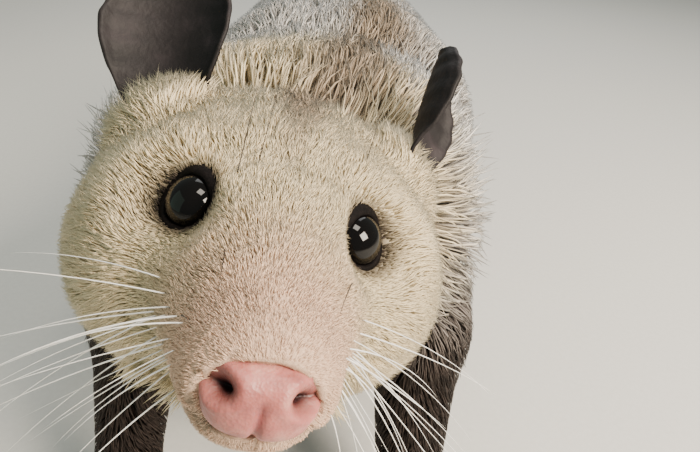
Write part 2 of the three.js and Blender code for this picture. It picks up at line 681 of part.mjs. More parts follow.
// The mouth line, seen from the side, runs back from under the nose to below the eye, then down to the throat
const MOUTH = [
  [-80, -22],
  [-46, -22.5],
  [-34, -24],
  [-20, -25],
  [-6, -24],
  [2, -22.5],
  [12, -30],
  [24, -70],
  [-80, -70],
];
function underMouth(grow) {
  const outline = new THREE.Shape(
    MOUTH.map(([y, z], n) => new THREE.Vector2(y + (n > 4 && n < 8 ? grow : 0), z + (n < 7 ? grow : 0))),
  );
  const wide = 160;
  const slab = new THREE.ExtrudeGeometry(outline, { depth: wide, bevelEnabled: false });
  slab.translate(0, 0, -wide / 2);
  const stand = new THREE.Matrix4().makeBasis(v(0, 1, 0), v(0, 0, 1), v(1, 0, 0));
  return solidOf(placeOnHead(slab.applyMatrix4(stand)));
}
addNode('jaw', headSolid.intersect(underMouth(0)), FACE_COAT);
headSolid = headSolid.subtract(underMouth(0.5));

// Ears: thin cupped leaves from the rear corners of the head, the left one swivelled out and the right one forwards
const EAR_THICK = 2;
const EAR_CUP = 9;
const EAR_CARRIAGE = {
  1: { base: [39, 41, 15], up: [0.03, 0.5, 0.86], face: [0.95, -0.28, 0.2] },
  '-1': { base: [36, 42, 16], up: [0, 0.5, 0.86], face: [0.35, -0.75, 0.5] },
};
function ear(side, grow = 0) {
  const carriage = EAR_CARRIAGE[side];
  const [base, up, face] = [carriage.base, carriage.up, carriage.face].map(([x, y, z]) => v(side * x, y, z));
  up.normalize();
  const across = up.clone().cross(face).normalize();
  const front = across.clone().cross(up).normalize();
  const outline = (t) => {
    const spread = 0.55 + 0.62 * Math.sin(Math.PI * Math.min(t, 0.62) * 0.8);
    return spread * Math.sqrt(Math.max(0, 1 - Math.max(0, (t - 0.45) / 0.55) ** 2.4));
  };
  return placeOnHead(
    shaped(16, 8, (t, x, z) => {
      const half = (EAR_WIDTH / 2) * 0.86 * Math.max(outline(t), 0.02) + grow;
      const offCentre = (x * half) / (EAR_WIDTH / 2);
      const cup = EAR_CUP * Math.min(1, t * 4) * offCentre * offCentre - 2 + 5 * t * t;
      const thick = ((EAR_THICK / 2) * (1.8 - t) + grow) * z;
      return base
        .clone()
        .addScaledVector(up, t * EAR_LENGTH - 3 + grow * (2 * t - 1))
        .addScaledVector(across, x * half)
        .addScaledVector(front, cup + thick);
    }),
  );
}
for (const [name, side] of Object.entries(SIDES)) {
  headSolid = headSolid.subtract(solidOf(ear(side, 2 * GAP)));
}
addNode('head', headSolid, FACE_COAT);
for (const [name, side] of Object.entries(SIDES)) {
  addNode(`ear_${name}`, solidOf(ear(side)), EAR_SKIN);
}

// Origin: on the floor, under the middle of the whole animal's bounding box
const bounds = new THREE.Box3().setFromObject(group);
const middle = bounds.getCenter(v(0, 0, 0)).setZ(bounds.min.z);
for (const mesh of group.children) mesh.geometry.translate(-middle.x, -middle.y, -middle.z);

export default group;
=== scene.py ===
# An adult Virginia opossum, life size, standing with its white face raised towards the camera.
# Places are millimetres in the animal's own frame: it faces -Y and its left side is +X.
import math

import bmesh
import bpy
import numpy as np
from mathutils import Matrix, Vector


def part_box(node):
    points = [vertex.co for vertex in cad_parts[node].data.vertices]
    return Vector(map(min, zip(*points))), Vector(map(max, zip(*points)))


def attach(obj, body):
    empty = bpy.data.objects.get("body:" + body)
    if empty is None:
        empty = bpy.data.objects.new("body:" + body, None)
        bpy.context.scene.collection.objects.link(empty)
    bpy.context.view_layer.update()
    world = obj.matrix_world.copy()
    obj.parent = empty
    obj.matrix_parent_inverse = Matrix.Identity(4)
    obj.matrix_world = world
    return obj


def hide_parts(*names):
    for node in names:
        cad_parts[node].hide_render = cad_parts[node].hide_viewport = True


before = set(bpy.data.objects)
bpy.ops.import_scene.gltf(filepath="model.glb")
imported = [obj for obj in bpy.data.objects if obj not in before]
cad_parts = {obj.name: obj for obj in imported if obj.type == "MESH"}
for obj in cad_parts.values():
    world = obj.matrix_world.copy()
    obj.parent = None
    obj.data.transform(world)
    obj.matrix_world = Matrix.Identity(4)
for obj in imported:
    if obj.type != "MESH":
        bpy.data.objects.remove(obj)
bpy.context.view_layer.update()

# Head carriage: the head is one rigid form, turned to its left, nose up and rolled over to the left.
# Its own frame has its origin midway between the eyes, +X to the animal's left and +Z to the crown.
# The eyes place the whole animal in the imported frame.
MM = 0.001
SIDES = {"left": 1, "right": -1}
EYE_MIDDLE = np.array([11.0, -190.0, 190.0])
HEAD_TURN = np.array(
    Matrix.Rotation(math.radians(10), 3, "Z")
    @ Matrix.Rotation(math.radians(-20), 3, "X")
    @ Matrix.Rotation(math.radians(14), 3, "Y")
)
EYE_OPENING = np.array([20.5, -1.0, 2.0])
EYE_OUTWARD = np.array([0.7, -0.58, 0.42])
EYE_SINK = 4.6


def from_head(points):
    return np.asarray(points, float) @ HEAD_TURN.T + EYE_MIDDLE


def to_head(points):
    return (np.asarray(points, float) - EYE_MIDDLE) @ HEAD_TURN


def box_middle(node):
    low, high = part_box(node)
    return np.array((low + high) / 2)


between_eyes = (EYE_OPENING - EYE_OUTWARD * EYE_SINK) * (0, 1, 1)
ORIGIN = from_head(between_eyes) - (box_middle("eye_left") + box_middle("eye_right")) / (2 * MM)


def metres(points):
    return (np.asarray(points, float) - ORIGIN) * MM


# Camera: a phone held in front of and above the snout, tipped down, with the frame a little askew. Its
# focal length is counted in pixels of a frame PHOTO_WIDTH pixels wide.
CAMERA_PLACE = (27.3, -303.0, 260.2)
CAMERA_PITCH = math.radians(32)
CAMERA_ROLL = math.radians(4.3)
FOCAL_PIXELS = 598
PHOTO_WIDTH = 700

camera_data = bpy.data.cameras.new("camera")
camera_data.sensor_width = 36
camera_data.lens = camera_data.sensor_width * FOCAL_PIXELS / PHOTO_WIDTH
camera_data.clip_start = 0.005
camera = bpy.data.objects.new("camera", camera_data)
bpy.context.scene.collection.objects.link(camera)
upright = Matrix.Rotation(math.pi / 2 - CAMERA_PITCH, 4, "X")
askew = Matrix.Rotation(CAMERA_ROLL, 4, "Z")
camera.matrix_world = Matrix.Translation(metres(CAMERA_PLACE)) @ upright @ askew
bpy.context.scene.camera = camera


# Flesh: round masses that melt into one another, as muscle and fat do under a pelt. Each is a ball or a
# tapered bone, and a field tells how far a point lies outside them all, which is outside the coat's tips.
def ball(centre, radii):
    return {"kind": "ball", "centre": np.array(centre, float), "radii": np.array(radii, float)}


def bone(start, end, start_radius, end_radius):
    ends = (np.array(start, float), np.array(end, float))
    return {"kind": "bone", "ends": ends, "radii": (start_radius, end_radius)}


def beyond_mass(points, mass):
    if mass["kind"] == "ball":
        scaled = (points - mass["centre"]) / mass["radii"]
        near = np.linalg.norm(scaled, axis=1)
        slope = np.linalg.norm(scaled / mass["radii"], axis=1)
        return near * (near - 1) / np.maximum(slope, 1e-6)
    start, end = mass["ends"]
    first, last = mass["radii"]
    along = np.clip((points - start) @ (end - start) / np.dot(end - start, end - start), 0, 1)
    away = np.linalg.norm(points - start - along[:, None] * (end - start), axis=1)
    return away - first - (last - first) * along


def soft_least(first, second, softness):
    overlap = np.maximum(softness - np.abs(first - second), 0) / softness
    return np.minimum(first, second) - overlap * overlap * softness / 4


def beyond_masses(points, masses, softness):
    total = beyond_mass(points, masses[0])
    for mass in masses[1:]:
        total = soft_least(total, beyond_mass(points, mass), softness)
    return total


def smooth_step(values, low, high):
    t = np.clip((values - low) / (high - low), 0, 1)
    return t * t * (3 - 2 * t)


def folded_over(head_points):
    return np.stack([np.abs(head_points[:, 0]), head_points[:, 1], head_points[:, 2]], 1)


SKULL = ball((0, 28, -3), (37, 40, 26))
FACE = ball((0, 4, -12), (25, 33, 18))
CHEEK = ball((25, 24, -16), (23, 34, 27))
MUZZLE = bone((0, -8, -11), (0, -44, -15), 20, 10.5)
LIP = bone((12, 2, -20), (5, -42, -18), 10, 6)
JAW = bone((0, 26, -30), (0, -36, -24), 17, 7)
BROW = bone((12, 13, 4), (20, 10, 4), 5, 4)
EAR_MOUND = ball((30, 38, 4), (16, 17, 18))
HEAD_MASSES = [SKULL, FACE, CHEEK, MUZZLE, LIP, JAW, BROW, EAR_MOUND]
LID_MIDDLE = np.array([19.8, -4.4, 0.6])
LID_OUTWARD = np.array([0.6, -0.7, 0.3])
ORBIT = ball((25.0, -14.0, 2.0), (10.5, 15.0, 9.0))
HEAD_SOFTNESS = 11
ORBIT_SOFTNESS = 5


def outside_head(head_points):
    folded = folded_over(head_points)
    form = beyond_masses(folded, HEAD_MASSES, HEAD_SOFTNESS)
    hollow = -beyond_mass(folded, ORBIT)
    overlap = np.maximum(ORBIT_SOFTNESS - np.abs(form - hollow), 0) / ORBIT_SOFTNESS
    return np.maximum(form, hollow) + overlap * overlap * ORBIT_SOFTNESS / 4


RUMP_SHIFT = 8
NECK_ROOT = (0, -100, 138)
BARREL_MASSES = [
    ball((0, -70, 127), (70, 72, 63)),
    ball((48, -78, 144), (29, 42, 42)),
    ball((-48, -78, 144), (29, 42, 42)),
    ball((12, 20, 131), (80, 105, 67)),
    ball((RUMP_SHIFT, 120, 128), (72, 84, 65)),
]
NECK_MASSES = [
    bone(from_head((0, 26, -22)), NECK_ROOT, 36, 54),
    bone(from_head((0, 46, -10)), NECK_ROOT, 36, 50),
]
TAIL_ROOT = bone((RUMP_SHIFT, 175, 142), (10, 222, 122), 30, 14)


def leg_masses(side):
    shoulder, elbow = (50 * side, -92, 122), (60 * side, -106, 90)
    wrist, hand = (59 * side, -150, 26), (58 * side, -158, 10)
    hip, knee = (46 * side + RUMP_SHIFT, 126, 118), (62 * side + RUMP_SHIFT, 84, 78)
    hock, heel = (56 * side + RUMP_SHIFT, 134, 28), (56 * side + RUMP_SHIFT, 132, 12)
    foreleg = [bone(shoulder, elbow, 29, 20), bone(elbow, wrist, 20, 12), bone(wrist, hand, 11, 8)]
    hindleg = [bone(hip, knee, 39, 27), bone(knee, hock, 24, 13), bone(hock, heel, 12, 9)]
    return foreleg + hindleg


LEG_MASSES = leg_masses(1) + leg_masses(-1)
BARREL_SOFTNESS = 30
NECK_SOFTNESS = 20
TRUNK_SOFTNESS = 34
LEG_SOFTNESS = 14
SHOULDER_SOFTNESS = 18
NAPE_SOFTNESS = 12


def outside_trunk(points):
    barrel = beyond_masses(points, BARREL_MASSES, BARREL_SOFTNESS)
    neck = beyond_masses(points, NECK_MASSES, NECK_SOFTNESS)
    trunk = soft_least(barrel, neck, TRUNK_SOFTNESS)
    return soft_least(trunk, beyond_mass(points, TAIL_ROOT), TRUNK_SOFTNESS)


def outside_legs(points):
    return beyond_masses(points, LEG_MASSES, LEG_SOFTNESS)


def outside_coat(points):
    body = soft_least(outside_trunk(points), outside_legs(points), SHOULDER_SOFTNESS)
    return soft_least(body, outside_head(to_head(points)), NAPE_SOFTNESS)


def limb_share(points):
    return smooth_step(outside_trunk(points) - outside_legs(points), -8, 8)


# Skin: hide and close underfur, inside the coat's outline by the coat's depth, which is nothing at the
# nose, a few millimetres on the face, and deep over neck and trunk. It is one net from nose to rump.
FACE_BACK = [-50, -44, -30, -8, 8, 26, 48, 70]
FACE_DEPTH = [0.5, 0.7, 1.0, 1.4, 2.4, 5, 9, 12]
NOSE_MIDDLE = np.array([0, -46.5, -16.9])
NOSE_SIZE = np.array([8.9, 8.3, 6.6])
NOSE_BED = 3.5
TRUNK_BACK = [-150, -90, 150, 215, 240]
TRUNK_DEPTH = [11, 18, 19, 9, 2]
LIMB_HEIGHT = [12, 30, 60, 100, 130]
LIMB_DEPTH = [0.8, 1.8, 4.5, 9, 13]
MOUTH_BACK = [-50, -46, -34, -20, -6, 3]
MOUTH_HEIGHT = [-22, -22.5, -24, -25, -24, -22]
MOUTH_HALF_WIDTH = 0.9
MOUTH_DEPTH = 1.3


def nose_bed(head_points):
    off_pad = np.linalg.norm(((head_points - NOSE_MIDDLE) / NOSE_SIZE)[:, [0, 2]], axis=1)
    return (1 - smooth_step(off_pad, 0.8, 1.08)) * smooth_step(-head_points[:, 1], 42, 46)


def coat_depth(points):
    head_points = to_head(points)
    face = np.interp(head_points[:, 1], FACE_BACK, FACE_DEPTH) + NOSE_BED * nose_bed(head_points)
    trunk = np.interp(points[:, 1], TRUNK_BACK, TRUNK_DEPTH)
    in_head = outside_head(head_points) < outside_trunk(points) + 2
    depth = np.where(in_head, face, np.maximum(trunk, np.minimum(face, 10)))
    limb = np.minimum(np.interp(points[:, 2], LIMB_HEIGHT, LIMB_DEPTH), depth)
    return depth + (limb - depth) * limb_share(points)


def mouth_crease(head_points):
    line = np.interp(head_points[:, 1], MOUTH_BACK, MOUTH_HEIGHT)
    across = np.exp(-(((head_points[:, 2] - line) / MOUTH_HALF_WIDTH) ** 2))
    return across * (1 - smooth_step(head_points[:, 1], 0, 5))


def outside_skin(points):
    return outside_coat(points) + coat_depth(points) + MOUTH_DEPTH * mouth_crease(to_head(points))


def slope_of(field, points, probe=0.4):
    here = field(points)
    slope = np.empty_like(points)
    for axis in range(3):
        moved = points.copy()
        moved[:, axis] += probe
        slope[:, axis] = (field(moved) - here) / probe
    return here, slope


def settled(field, points, rounds=5, reach=6.0):
    points = points.copy()
    for _ in range(rounds):
        here, slope = slope_of(field, points)
        step = -here / np.maximum((slope**2).sum(1), 0.25)
        points += slope * np.clip(step, -reach, reach)[:, None]
    return points


def unit(vectors):
    vectors = np.asarray(vectors, float)
    return vectors / np.maximum(np.linalg.norm(vectors, axis=-1, keepdims=True), 1e-9)


def beads_of(mass):
    if mass["kind"] == "ball":
        return [(mass["centre"], mass["radii"])]
    (start, end), (first, last) = mass["ends"], mass["radii"]
    count = max(2, int(np.linalg.norm(end - start) / (0.5 * min(first, last))) + 1)
    shares = np.linspace(0, 1, count)
    return [(start + (end - start) * t, np.full(3, first + (last - first) * t)) for t in shares]


def string_beads(bm, masses, placed=lambda point: point, turn=Matrix.Identity(4)):
    for mass in masses:
        for centre, radii in beads_of(mass):
            place = Matrix.Translation(metres(placed(centre)))
            sized = Matrix.Diagonal((*(radii * MM), 1))
            bmesh.ops.create_icosphere(bm, subdivisions=3, radius=1, matrix=place @ turn @ sized)


def new_piece(name, mesh, material=None, slot=None):
    piece = bpy.data.objects.new(name, mesh)
    bpy.context.scene.collection.objects.link(piece)
    if material:
        mesh.materials.append(material)
    if slot:
        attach(piece, "root")
    return piece


def mesh_of(name, bm):
    mesh = bpy.data.meshes.new(name)
    bm.to_mesh(mesh)
    bm.free()
    return mesh


def mesh_points(mesh):
    flat = np.empty(len(mesh.vertices) * 3, np.float32)
    mesh.vertices.foreach_get("co", flat)
    return flat.reshape(-1, 3).astype(float)


def set_mesh_points(mesh, points):
    mesh.vertices.foreach_set("co", np.asarray(points, np.float32).ravel())
    mesh.update()


def shade_smooth(mesh):
    mesh.polygons.foreach_set("use_smooth", np.ones(len(mesh.polygons), bool))


def fused(name, bm, cell):
    beaded = mesh_of(name, bm)
    piece = new_piece(name, beaded)
    remesh = piece.modifiers.new("fuse", "REMESH")
    remesh.mode = "VOXEL"
    remesh.voxel_size = cell * MM
    graph = bpy.context.evaluated_depsgraph_get()
    whole = bpy.data.meshes.new_from_object(piece.evaluated_get(graph))
    piece.modifiers.clear()
    piece.data = whole
    bpy.data.meshes.remove(beaded)
    return piece


def relaxed(mesh, rounds, share=0.5):
    bm = bmesh.new()
    bm.from_mesh(mesh)
    everywhere = {"use_axis_x": True, "use_axis_y": True, "use_axis_z": True}
    for _ in range(rounds):
        bmesh.ops.smooth_vert(bm, verts=bm.verts, factor=share, **everywhere)
    bm.to_mesh(mesh)
    bm.free()


def in_own_frame(mesh):
    return mesh_points(mesh) / MM + ORIGIN


SKIN_CELL = 2.3
FINE_FACE_BACK = 12
bm = bmesh.new()
string_beads(bm, BARREL_MASSES + NECK_MASSES + [TAIL_ROOT] + LEG_MASSES)
head_turn = Matrix(HEAD_TURN.tolist()).to_4x4()
string_beads(bm, HEAD_MASSES, from_head, head_turn)
string_beads(bm, HEAD_MASSES, lambda point: from_head(point * (-1, 1, 1)), head_turn)
skin = fused("skin", bm, SKIN_CELL)
set_mesh_points(skin.data, metres(settled(outside_skin, in_own_frame(skin.data))))
relaxed(skin.data, 2)

# The face has a finer net than the body, for the orbits, the lips and the crease of the mouth.
bm = bmesh.new()
bm.from_mesh(skin.data)
behind_eyes = to_head(in_own_frame(skin.data))[:, 1]
fine = [edge for edge in bm.edges if all(behind_eyes[vert.index] < FINE_FACE_BACK for vert in edge.verts)]
bmesh.ops.subdivide_edges(bm, edges=fine, cuts=1, use_grid_fill=True)
bmesh.ops.triangulate(bm, faces=[face for face in bm.faces if len(face.verts) > 4])
bm.to_mesh(skin.data)
bm.free()
skin_points = settled(outside_skin, in_own_frame(skin.data), rounds=6, reach=3)
set_mesh_points(skin.data, metres(skin_points))
shade_smooth(skin.data)

bpy.context.view_layer.objects.active = skin
skin.select_set(True)
bpy.ops.object.mode_set(mode="EDIT")
bpy.ops.mesh.select_all(action="SELECT")
bpy.ops.uv.smart_project(angle_limit=math.radians(66), island_margin=0.001)
bpy.ops.object.mode_set(mode="OBJECT")
skin.select_set(False)


# Markings, the same for skin and coat: how much a place on the pelt has of the dark round the eye, the
# brown stripe up the forehead, the white of the face, the pink of the muzzle, the dark of the legs and
# painted shade on the chest under the head.
def ripple(points, scale, phase=0.0):
    x, y, z = (points / scale).T
    slow = np.sin(x * 1.7 + np.sin(y * 2.3 + phase) * 1.3)
    slow = slow * np.sin(z * 1.9 + np.sin(x * 1.1) * 1.7 + phase)
    quick = np.sin(y * 2.9 + phase + np.sin(z * 3.1)) * np.cos(x * 3.7 - phase)
    return 0.6 * slow + 0.4 * quick


STRIPE_BACK = [-20, 0, 20, 50, 80]
STRIPE_WIDTH = [3, 4, 7, 11, 16]
SPINE_BACK = [10, 40, 70, 110, 160]
SPINE_SHIFT = [0, 4, 14, 26, 38]
EYE_INNER_CORNER = np.array([15.0, -11.0, -1.0])
MARKING_GRAIN = 9.0
FACE_END = (50, 88)
CROWN_REACH = 40


def markings(points):
    head_points = to_head(points)
    folded = folded_over(head_points)
    back = head_points[:, 1]
    wander = ripple(points, MARKING_GRAIN)
    from_eye = np.linalg.norm((folded - LID_MIDDLE) / (1.0, 1.0, 0.85), axis=1) + 0.7 * wander
    from_corner = np.linalg.norm((folded - EYE_INNER_CORNER) / (1.2, 1.5, 1.0), axis=1)
    smudge = 1 - smooth_step(from_eye, 6.5, 12.0)
    smudge = np.maximum(smudge, 0.5 * (1 - smooth_step(from_corner, 1.5, 6.5)))
    width = np.interp(back, STRIPE_BACK, STRIPE_WIDTH) * (1 + 0.3 * wander)
    off_spine = np.abs(head_points[:, 0] - np.interp(back, SPINE_BACK, SPINE_SHIFT))
    stripe = 1 - smooth_step(off_spine / width, 0.2, 1.2)
    stripe = stripe * smooth_step(back, -16, 24) * smooth_step(head_points[:, 2], -12, 2)
    crown = smooth_step(head_points[:, 2], 4, 22) * (1 - smooth_step(np.abs(head_points[:, 0]), 24, 46))
    face = 1 - smooth_step(back - CROWN_REACH * crown + 4 * wander, *FACE_END)
    pink = 0.85 * (1 - smooth_step(back + 1.5 * wander, -44, -12))
    limb = smooth_step(outside_trunk(points) - outside_legs(points), -4, 12)
    dark = limb * (1 - smooth_step(points[:, 2] + 8 * wander, 92, 130))
    # Painted shade: the chest under the head and neck is darkened with the legs' brown.
    chest_shade = (1 - smooth_step(points[:, 2] + 6 * wander, 84, 120)) * smooth_step(-points[:, 1], 20, 90)
    dark = np.maximum(dark, 0.6 * chest_shade * (1 - face))
    flank = (1 - smooth_step(points[:, 2] + 10 * wander, 105, 165)) * (1 - face)
    shares = {"smudge": smudge, "stripe": stripe, "face": face, "pink": pink, "dark": dark, "flank": flank}
    return {name: np.clip(share, 0, 1) for name, share in shares.items()}


def mark(mesh, name, values, kind="FLOAT", field="value"):
    attribute = mesh.attributes.new(name, kind, "POINT")
    attribute.data.foreach_set(field, np.asarray(values, np.float32).ravel())


for name, values in markings(skin_points).items():
    mark(skin.data, name, values)
mark(skin.data, "mouth_crease_shade", mouth_crease(to_head(skin_points)))
from_nose = to_head(skin_points) - NOSE_MIDDLE + (0, 15, 0)
nose_distance = np.linalg.norm(from_nose, axis=1, keepdims=True)
strands = unit(from_nose) * (45 + 0.14 * nose_distance)
mark(skin.data, "strand", strands, "FLOAT_VECTOR", "vector")


# Pelt finish: colours are given as the eye reads them and turned to linear light. Hair is paler at its
# tip than at its root, and the underfur shows fine strands that run back from the nose.
def colour(hex_value):
    channels = [int(hex_value[i : i + 2], 16) / 255 for i in (0, 2, 4)]
    linear = [c / 12.92 if c <= 0.04045 else ((c + 0.055) / 1.055) ** 2.4 for c in channels]
    return (*linear, 1.0)


def grey(level):
    return (level, level, level, 1.0)


def new_finish(name):
    material = bpy.data.materials.new(name)
    material.use_nodes = True
    material.node_tree.nodes.clear()
    return material, material.node_tree


def add(tree, kind, inputs=None, **settings):
    node = tree.nodes.new(kind)
    for key, value in settings.items():
        setattr(node, key, value)
    for key, value in (inputs or {}).items():
        if isinstance(value, bpy.types.NodeSocket):
            tree.links.new(value, node.inputs[key])
        else:
            node.inputs[key].default_value = value
    return node


def mixed(tree, share, first, second, blend_type="MIX"):
    inputs = {0: share, 6: first, 7: second}
    return add(tree, "ShaderNodeMix", inputs, data_type="RGBA", blend_type=blend_type).outputs[2]


def marked(tree, name):
    return add(tree, "ShaderNodeAttribute", attribute_name=name).outputs["Fac"]


def own_place(tree):
    return add(tree, "ShaderNodeTexCoord").outputs["Object"]


def noise(tree, place, grain_mm, detail=4.0):
    inputs = {"Vector": place, "Scale": 1 / (grain_mm * MM), "Detail": detail}
    return add(tree, "ShaderNodeTexNoise", inputs).outputs["Fac"]


def ramped(tree, value, stops):
    ramp = add(tree, "ShaderNodeValToRGB", {0: value})
    elements = ramp.color_ramp.elements
    while len(elements) < len(stops):
        elements.new(0.5)
    for element, (place, tint) in zip(elements, stops):
        element.position = place
        element.color = tint
    return ramp.outputs[0]


def two_toned(tree, value, low, high):
    return ramped(tree, value, [(0.3, colour(low)), (0.7, colour(high))])


def relief(tree, height, depth_mm, strength=0.5):
    inputs = {"Strength": strength, "Distance": depth_mm * MM, "Height": height}
    return add(tree, "ShaderNodeBump", inputs).outputs[0]


def surface(tree, inputs, bump=None):
    if bump is not None:
        inputs = {**inputs, "Normal": bump}
    shader = add(tree, "ShaderNodeBsdfPrincipled", inputs)
    add(tree, "ShaderNodeOutputMaterial", {"Surface": shader.outputs[0]})


FACE_TIP = colour("f6e6c4")
FACE_ROOT = colour("d2bd94")
MUZZLE_PINK = colour("eac4ab")
STRIPE_BROWN = colour("a8957f")
SMUDGE_BROWN = colour("2a2120")
BACK_TIP = colour("efebe5")
BACK_ROOT = colour("a0978f")
FLANK_GREY = colour("776e69")
LEG_BROWN = colour("3b322e")


def pelt_colour(tree, along):
    tint = mixed(tree, along, BACK_ROOT, BACK_TIP)
    tint = mixed(tree, marked(tree, "flank"), tint, FLANK_GREY)
    tint = mixed(tree, marked(tree, "face"), tint, mixed(tree, along, FACE_ROOT, FACE_TIP))
    tint = mixed(tree, marked(tree, "pink"), tint, MUZZLE_PINK)
    tint = mixed(tree, marked(tree, "stripe"), tint, STRIPE_BROWN)
    # The legs' own dark brown, which also carries the painted shade on the chest.
    tint = mixed(tree, marked(tree, "dark"), tint, LEG_BROWN)
    return mixed(tree, marked(tree, "smudge"), tint, SMUDGE_BROWN)


# Underfur: matt, close down, with painted shade between its strands and a dark line of painted shade where
# the lips meet.
underfur, tree = new_finish("underfur")
strands = add(tree, "ShaderNodeAttribute", attribute_name="strand").outputs["Vector"]
strand_inputs = {"Vector": strands, "Scale": 2.2, "Detail": 4.0, "Roughness": 0.6}
fine_strands = add(tree, "ShaderNodeTexNoise", strand_inputs).outputs["Fac"]
# Painted shade: the underfur is darkened between its fine strands.
shade = ramped(tree, fine_strands, [(0.3, grey(0.72)), (0.65, grey(1.0))])
tint = mixed(tree, 1.0, pelt_colour(tree, 0.7), shade, "MULTIPLY")
# Painted shade: a dark line along the crease where the lips meet.
tint = mixed(tree, marked(tree, "mouth_crease_shade"), tint, colour("3a2320"))
bump = relief(tree, fine_strands, 0.5, 0.7)
surface(tree, {"Base Color": tint, "Roughness": 0.8, "Specular IOR Level": 0.2}, bump)
skin.data.materials.append(underfur)
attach(skin, "root")
LIMBS = [f"{leg}_{side}" for leg in ("foreleg", "hindleg") for side in SIDES]
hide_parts("head", "jaw", "neck", "torso", *LIMBS)


# Coat: tufts of hair that root in the skin and lie along it. Each is a closed, three-sided blade that
# leaves the skin at a slant, bends over and comes to a point at the coat's outline.
def skin_triangles():
    mesh = skin.data
    mesh.calc_loop_triangles()
    count = len(mesh.loop_triangles)
    corners = np.empty(count * 3, np.int32)
    loops = np.empty(count * 3, np.int32)
    mesh.loop_triangles.foreach_get("vertices", corners)
    mesh.loop_triangles.foreach_get("loops", loops)
    flat_uv = np.empty(len(mesh.loops) * 2, np.float32)
    mesh.uv_layers.active.data.foreach_get("uv", flat_uv)
    return skin_points[corners.reshape(-1, 3)], flat_uv.reshape(-1, 2)[loops.reshape(-1, 3)]


CORNER_PLACES, CORNER_UVS = skin_triangles()
FIRST_EDGES = CORNER_PLACES[:, 1] - CORNER_PLACES[:, 0]
LAST_EDGES = CORNER_PLACES[:, 2] - CORNER_PLACES[:, 0]
TRIANGLE_AREAS = np.linalg.norm(np.cross(FIRST_EDGES, LAST_EDGES), axis=1) / 2
TRIANGLE_MIDDLES = CORNER_PLACES.mean(1)


def roots_where(density, count, draw):
    weights = TRIANGLE_AREAS * density(TRIANGLE_MIDDLES)
    picks = draw.choice(len(weights), count, p=weights / weights.sum())
    shares = draw.random((count, 2))
    beyond_edge = shares.sum(1) > 1
    shares[beyond_edge] = 1 - shares[beyond_edge]
    corner_shares = np.stack([1 - shares.sum(1), shares[:, 0], shares[:, 1]], 1)[:, :, None]
    return (CORNER_PLACES[picks] * corner_shares).sum(1), (CORNER_UVS[picks] * corner_shares).sum(1)


def outward_of(points, probe):
    return unit(slope_of(outside_coat, points, probe)[1])


LIE_START = np.array([0, -62, -10])
EYE_PART_RADIUS = 11
ROOT_DEPTH = 0.4
BEND = 0.9
BAKE_PATCH = 0.003


def lie_of(points, normals):
    head_points = to_head(points)
    from_nose = (head_points - LIE_START) * (1, 1, 0.8)
    from_eye = folded_over(head_points) - LID_MIDDLE
    pull = np.exp(-((np.linalg.norm(from_eye, axis=1) / EYE_PART_RADIUS) ** 2))[:, None]
    from_eye[:, 0] *= np.sign(head_points[:, 0])
    head_lie = (unit(from_nose) + 1.6 * pull * unit(from_eye)) @ HEAD_TURN.T
    along_body = np.stack([0 * points[:, 0], 0 * points[:, 0] + 1, -0.6 * np.abs(normals[:, 0])], 1)
    down_leg = np.broadcast_to((0.0, 0.35, -1.0), points.shape)
    limb = smooth_step(outside_trunk(points) - outside_legs(points), -6, 10)[:, None]
    body_lie = unit(along_body) * (1 - limb) + down_leg * limb
    in_head = 1 - smooth_step(head_points[:, 1], 40, 75)[:, None]
    lie = head_lie * in_head + body_lie * (1 - in_head)
    return unit(lie - normals * (lie * normals).sum(1, keepdims=True))


def spines_of(roots, normals, lie, length, lift, stations, sway, droop):
    side = np.cross(lie, normals)
    places = [roots - normals * ROOT_DEPTH]
    for station in range(1, stations):
        t = station / (stations - 1)
        place = roots + lie * (length * t)[:, None] + side * (sway * length * t * t)[:, None]
        place = place + normals * (lift * math.sin(t * math.pi / 2) ** BEND)[:, None]
        place[:, 2] -= droop * length * t * t
        places.append(place)
    return np.stack(places, 1)


def blade_faces(stations):
    faces = [(0, 1, 2)]
    for ring in range(stations - 2):
        a, b, c = 3 * ring, 3 * ring + 1, 3 * ring + 2
        for p, q in ((b, a), (c, b), (a, c)):
            faces += [(p, q, q + 3), (p, q + 3, p + 3)]
    tip = 3 * (stations - 1)
    a, b, c = tip - 3, tip - 2, tip - 1
    return np.array(faces + [(b, a, tip), (c, b, tip), (a, c, tip)])


def tufts(name, material, slot, roots, uvs, spines, half_widths, normals, tone):
    count, stations = spines.shape[:2]
    heading = unit(spines[:, 1:] - spines[:, :-1])
    across = unit(np.cross(heading, normals[:, None, :]))
    lifted = np.cross(across, heading)
    half = half_widths[:, :, None]
    middle = spines[:, :-1]
    rings = np.stack([middle - across * half, middle + across * half, middle + lifted * half * 0.5], 2)
    points = np.concatenate([rings.reshape(count, -1, 3), spines[:, -1:]], 1)
    each = points.shape[1]
    index = (blade_faces(stations)[None] + (np.arange(count) * each)[:, None, None]).reshape(-1)
    mesh = bpy.data.meshes.new(name)
    mesh.vertices.add(count * each)
    set_mesh_points(mesh, metres(points.reshape(-1, 3)))
    mesh.loops.add(len(index))
    mesh.loops.foreach_set("vertex_index", index.astype(np.int32))
    mesh.polygons.add(len(index) // 3)
    mesh.polygons.foreach_set("loop_start", np.arange(0, len(index), 3, dtype=np.int32))
    mesh.update(calc_edges=True)
    shade_smooth(mesh)
    along = np.append(np.repeat(np.arange(stations - 1), 3), stations - 1) / (stations - 1)
    beside = np.append(np.tile([0.0, 1.0, 0.5], stations - 1), 0.5)
    patch = (np.stack([beside, along], 1) - 0.5) * BAKE_PATCH
    bake_uvs = (uvs[:, None] + patch[None]).reshape(-1, 2)[index]
    bake_map = mesh.uv_layers.new(name="OFBake")
    bake_map.data.foreach_set("uv", bake_uvs.astype(np.float32).ravel())
    mark(mesh, "along", np.tile(along, count))
    mark(mesh, "tone", np.repeat(tone, each))
    for key, values in markings(roots).items():
        mark(mesh, key, np.repeat(values, each))
    return new_piece(name, mesh, material, slot)


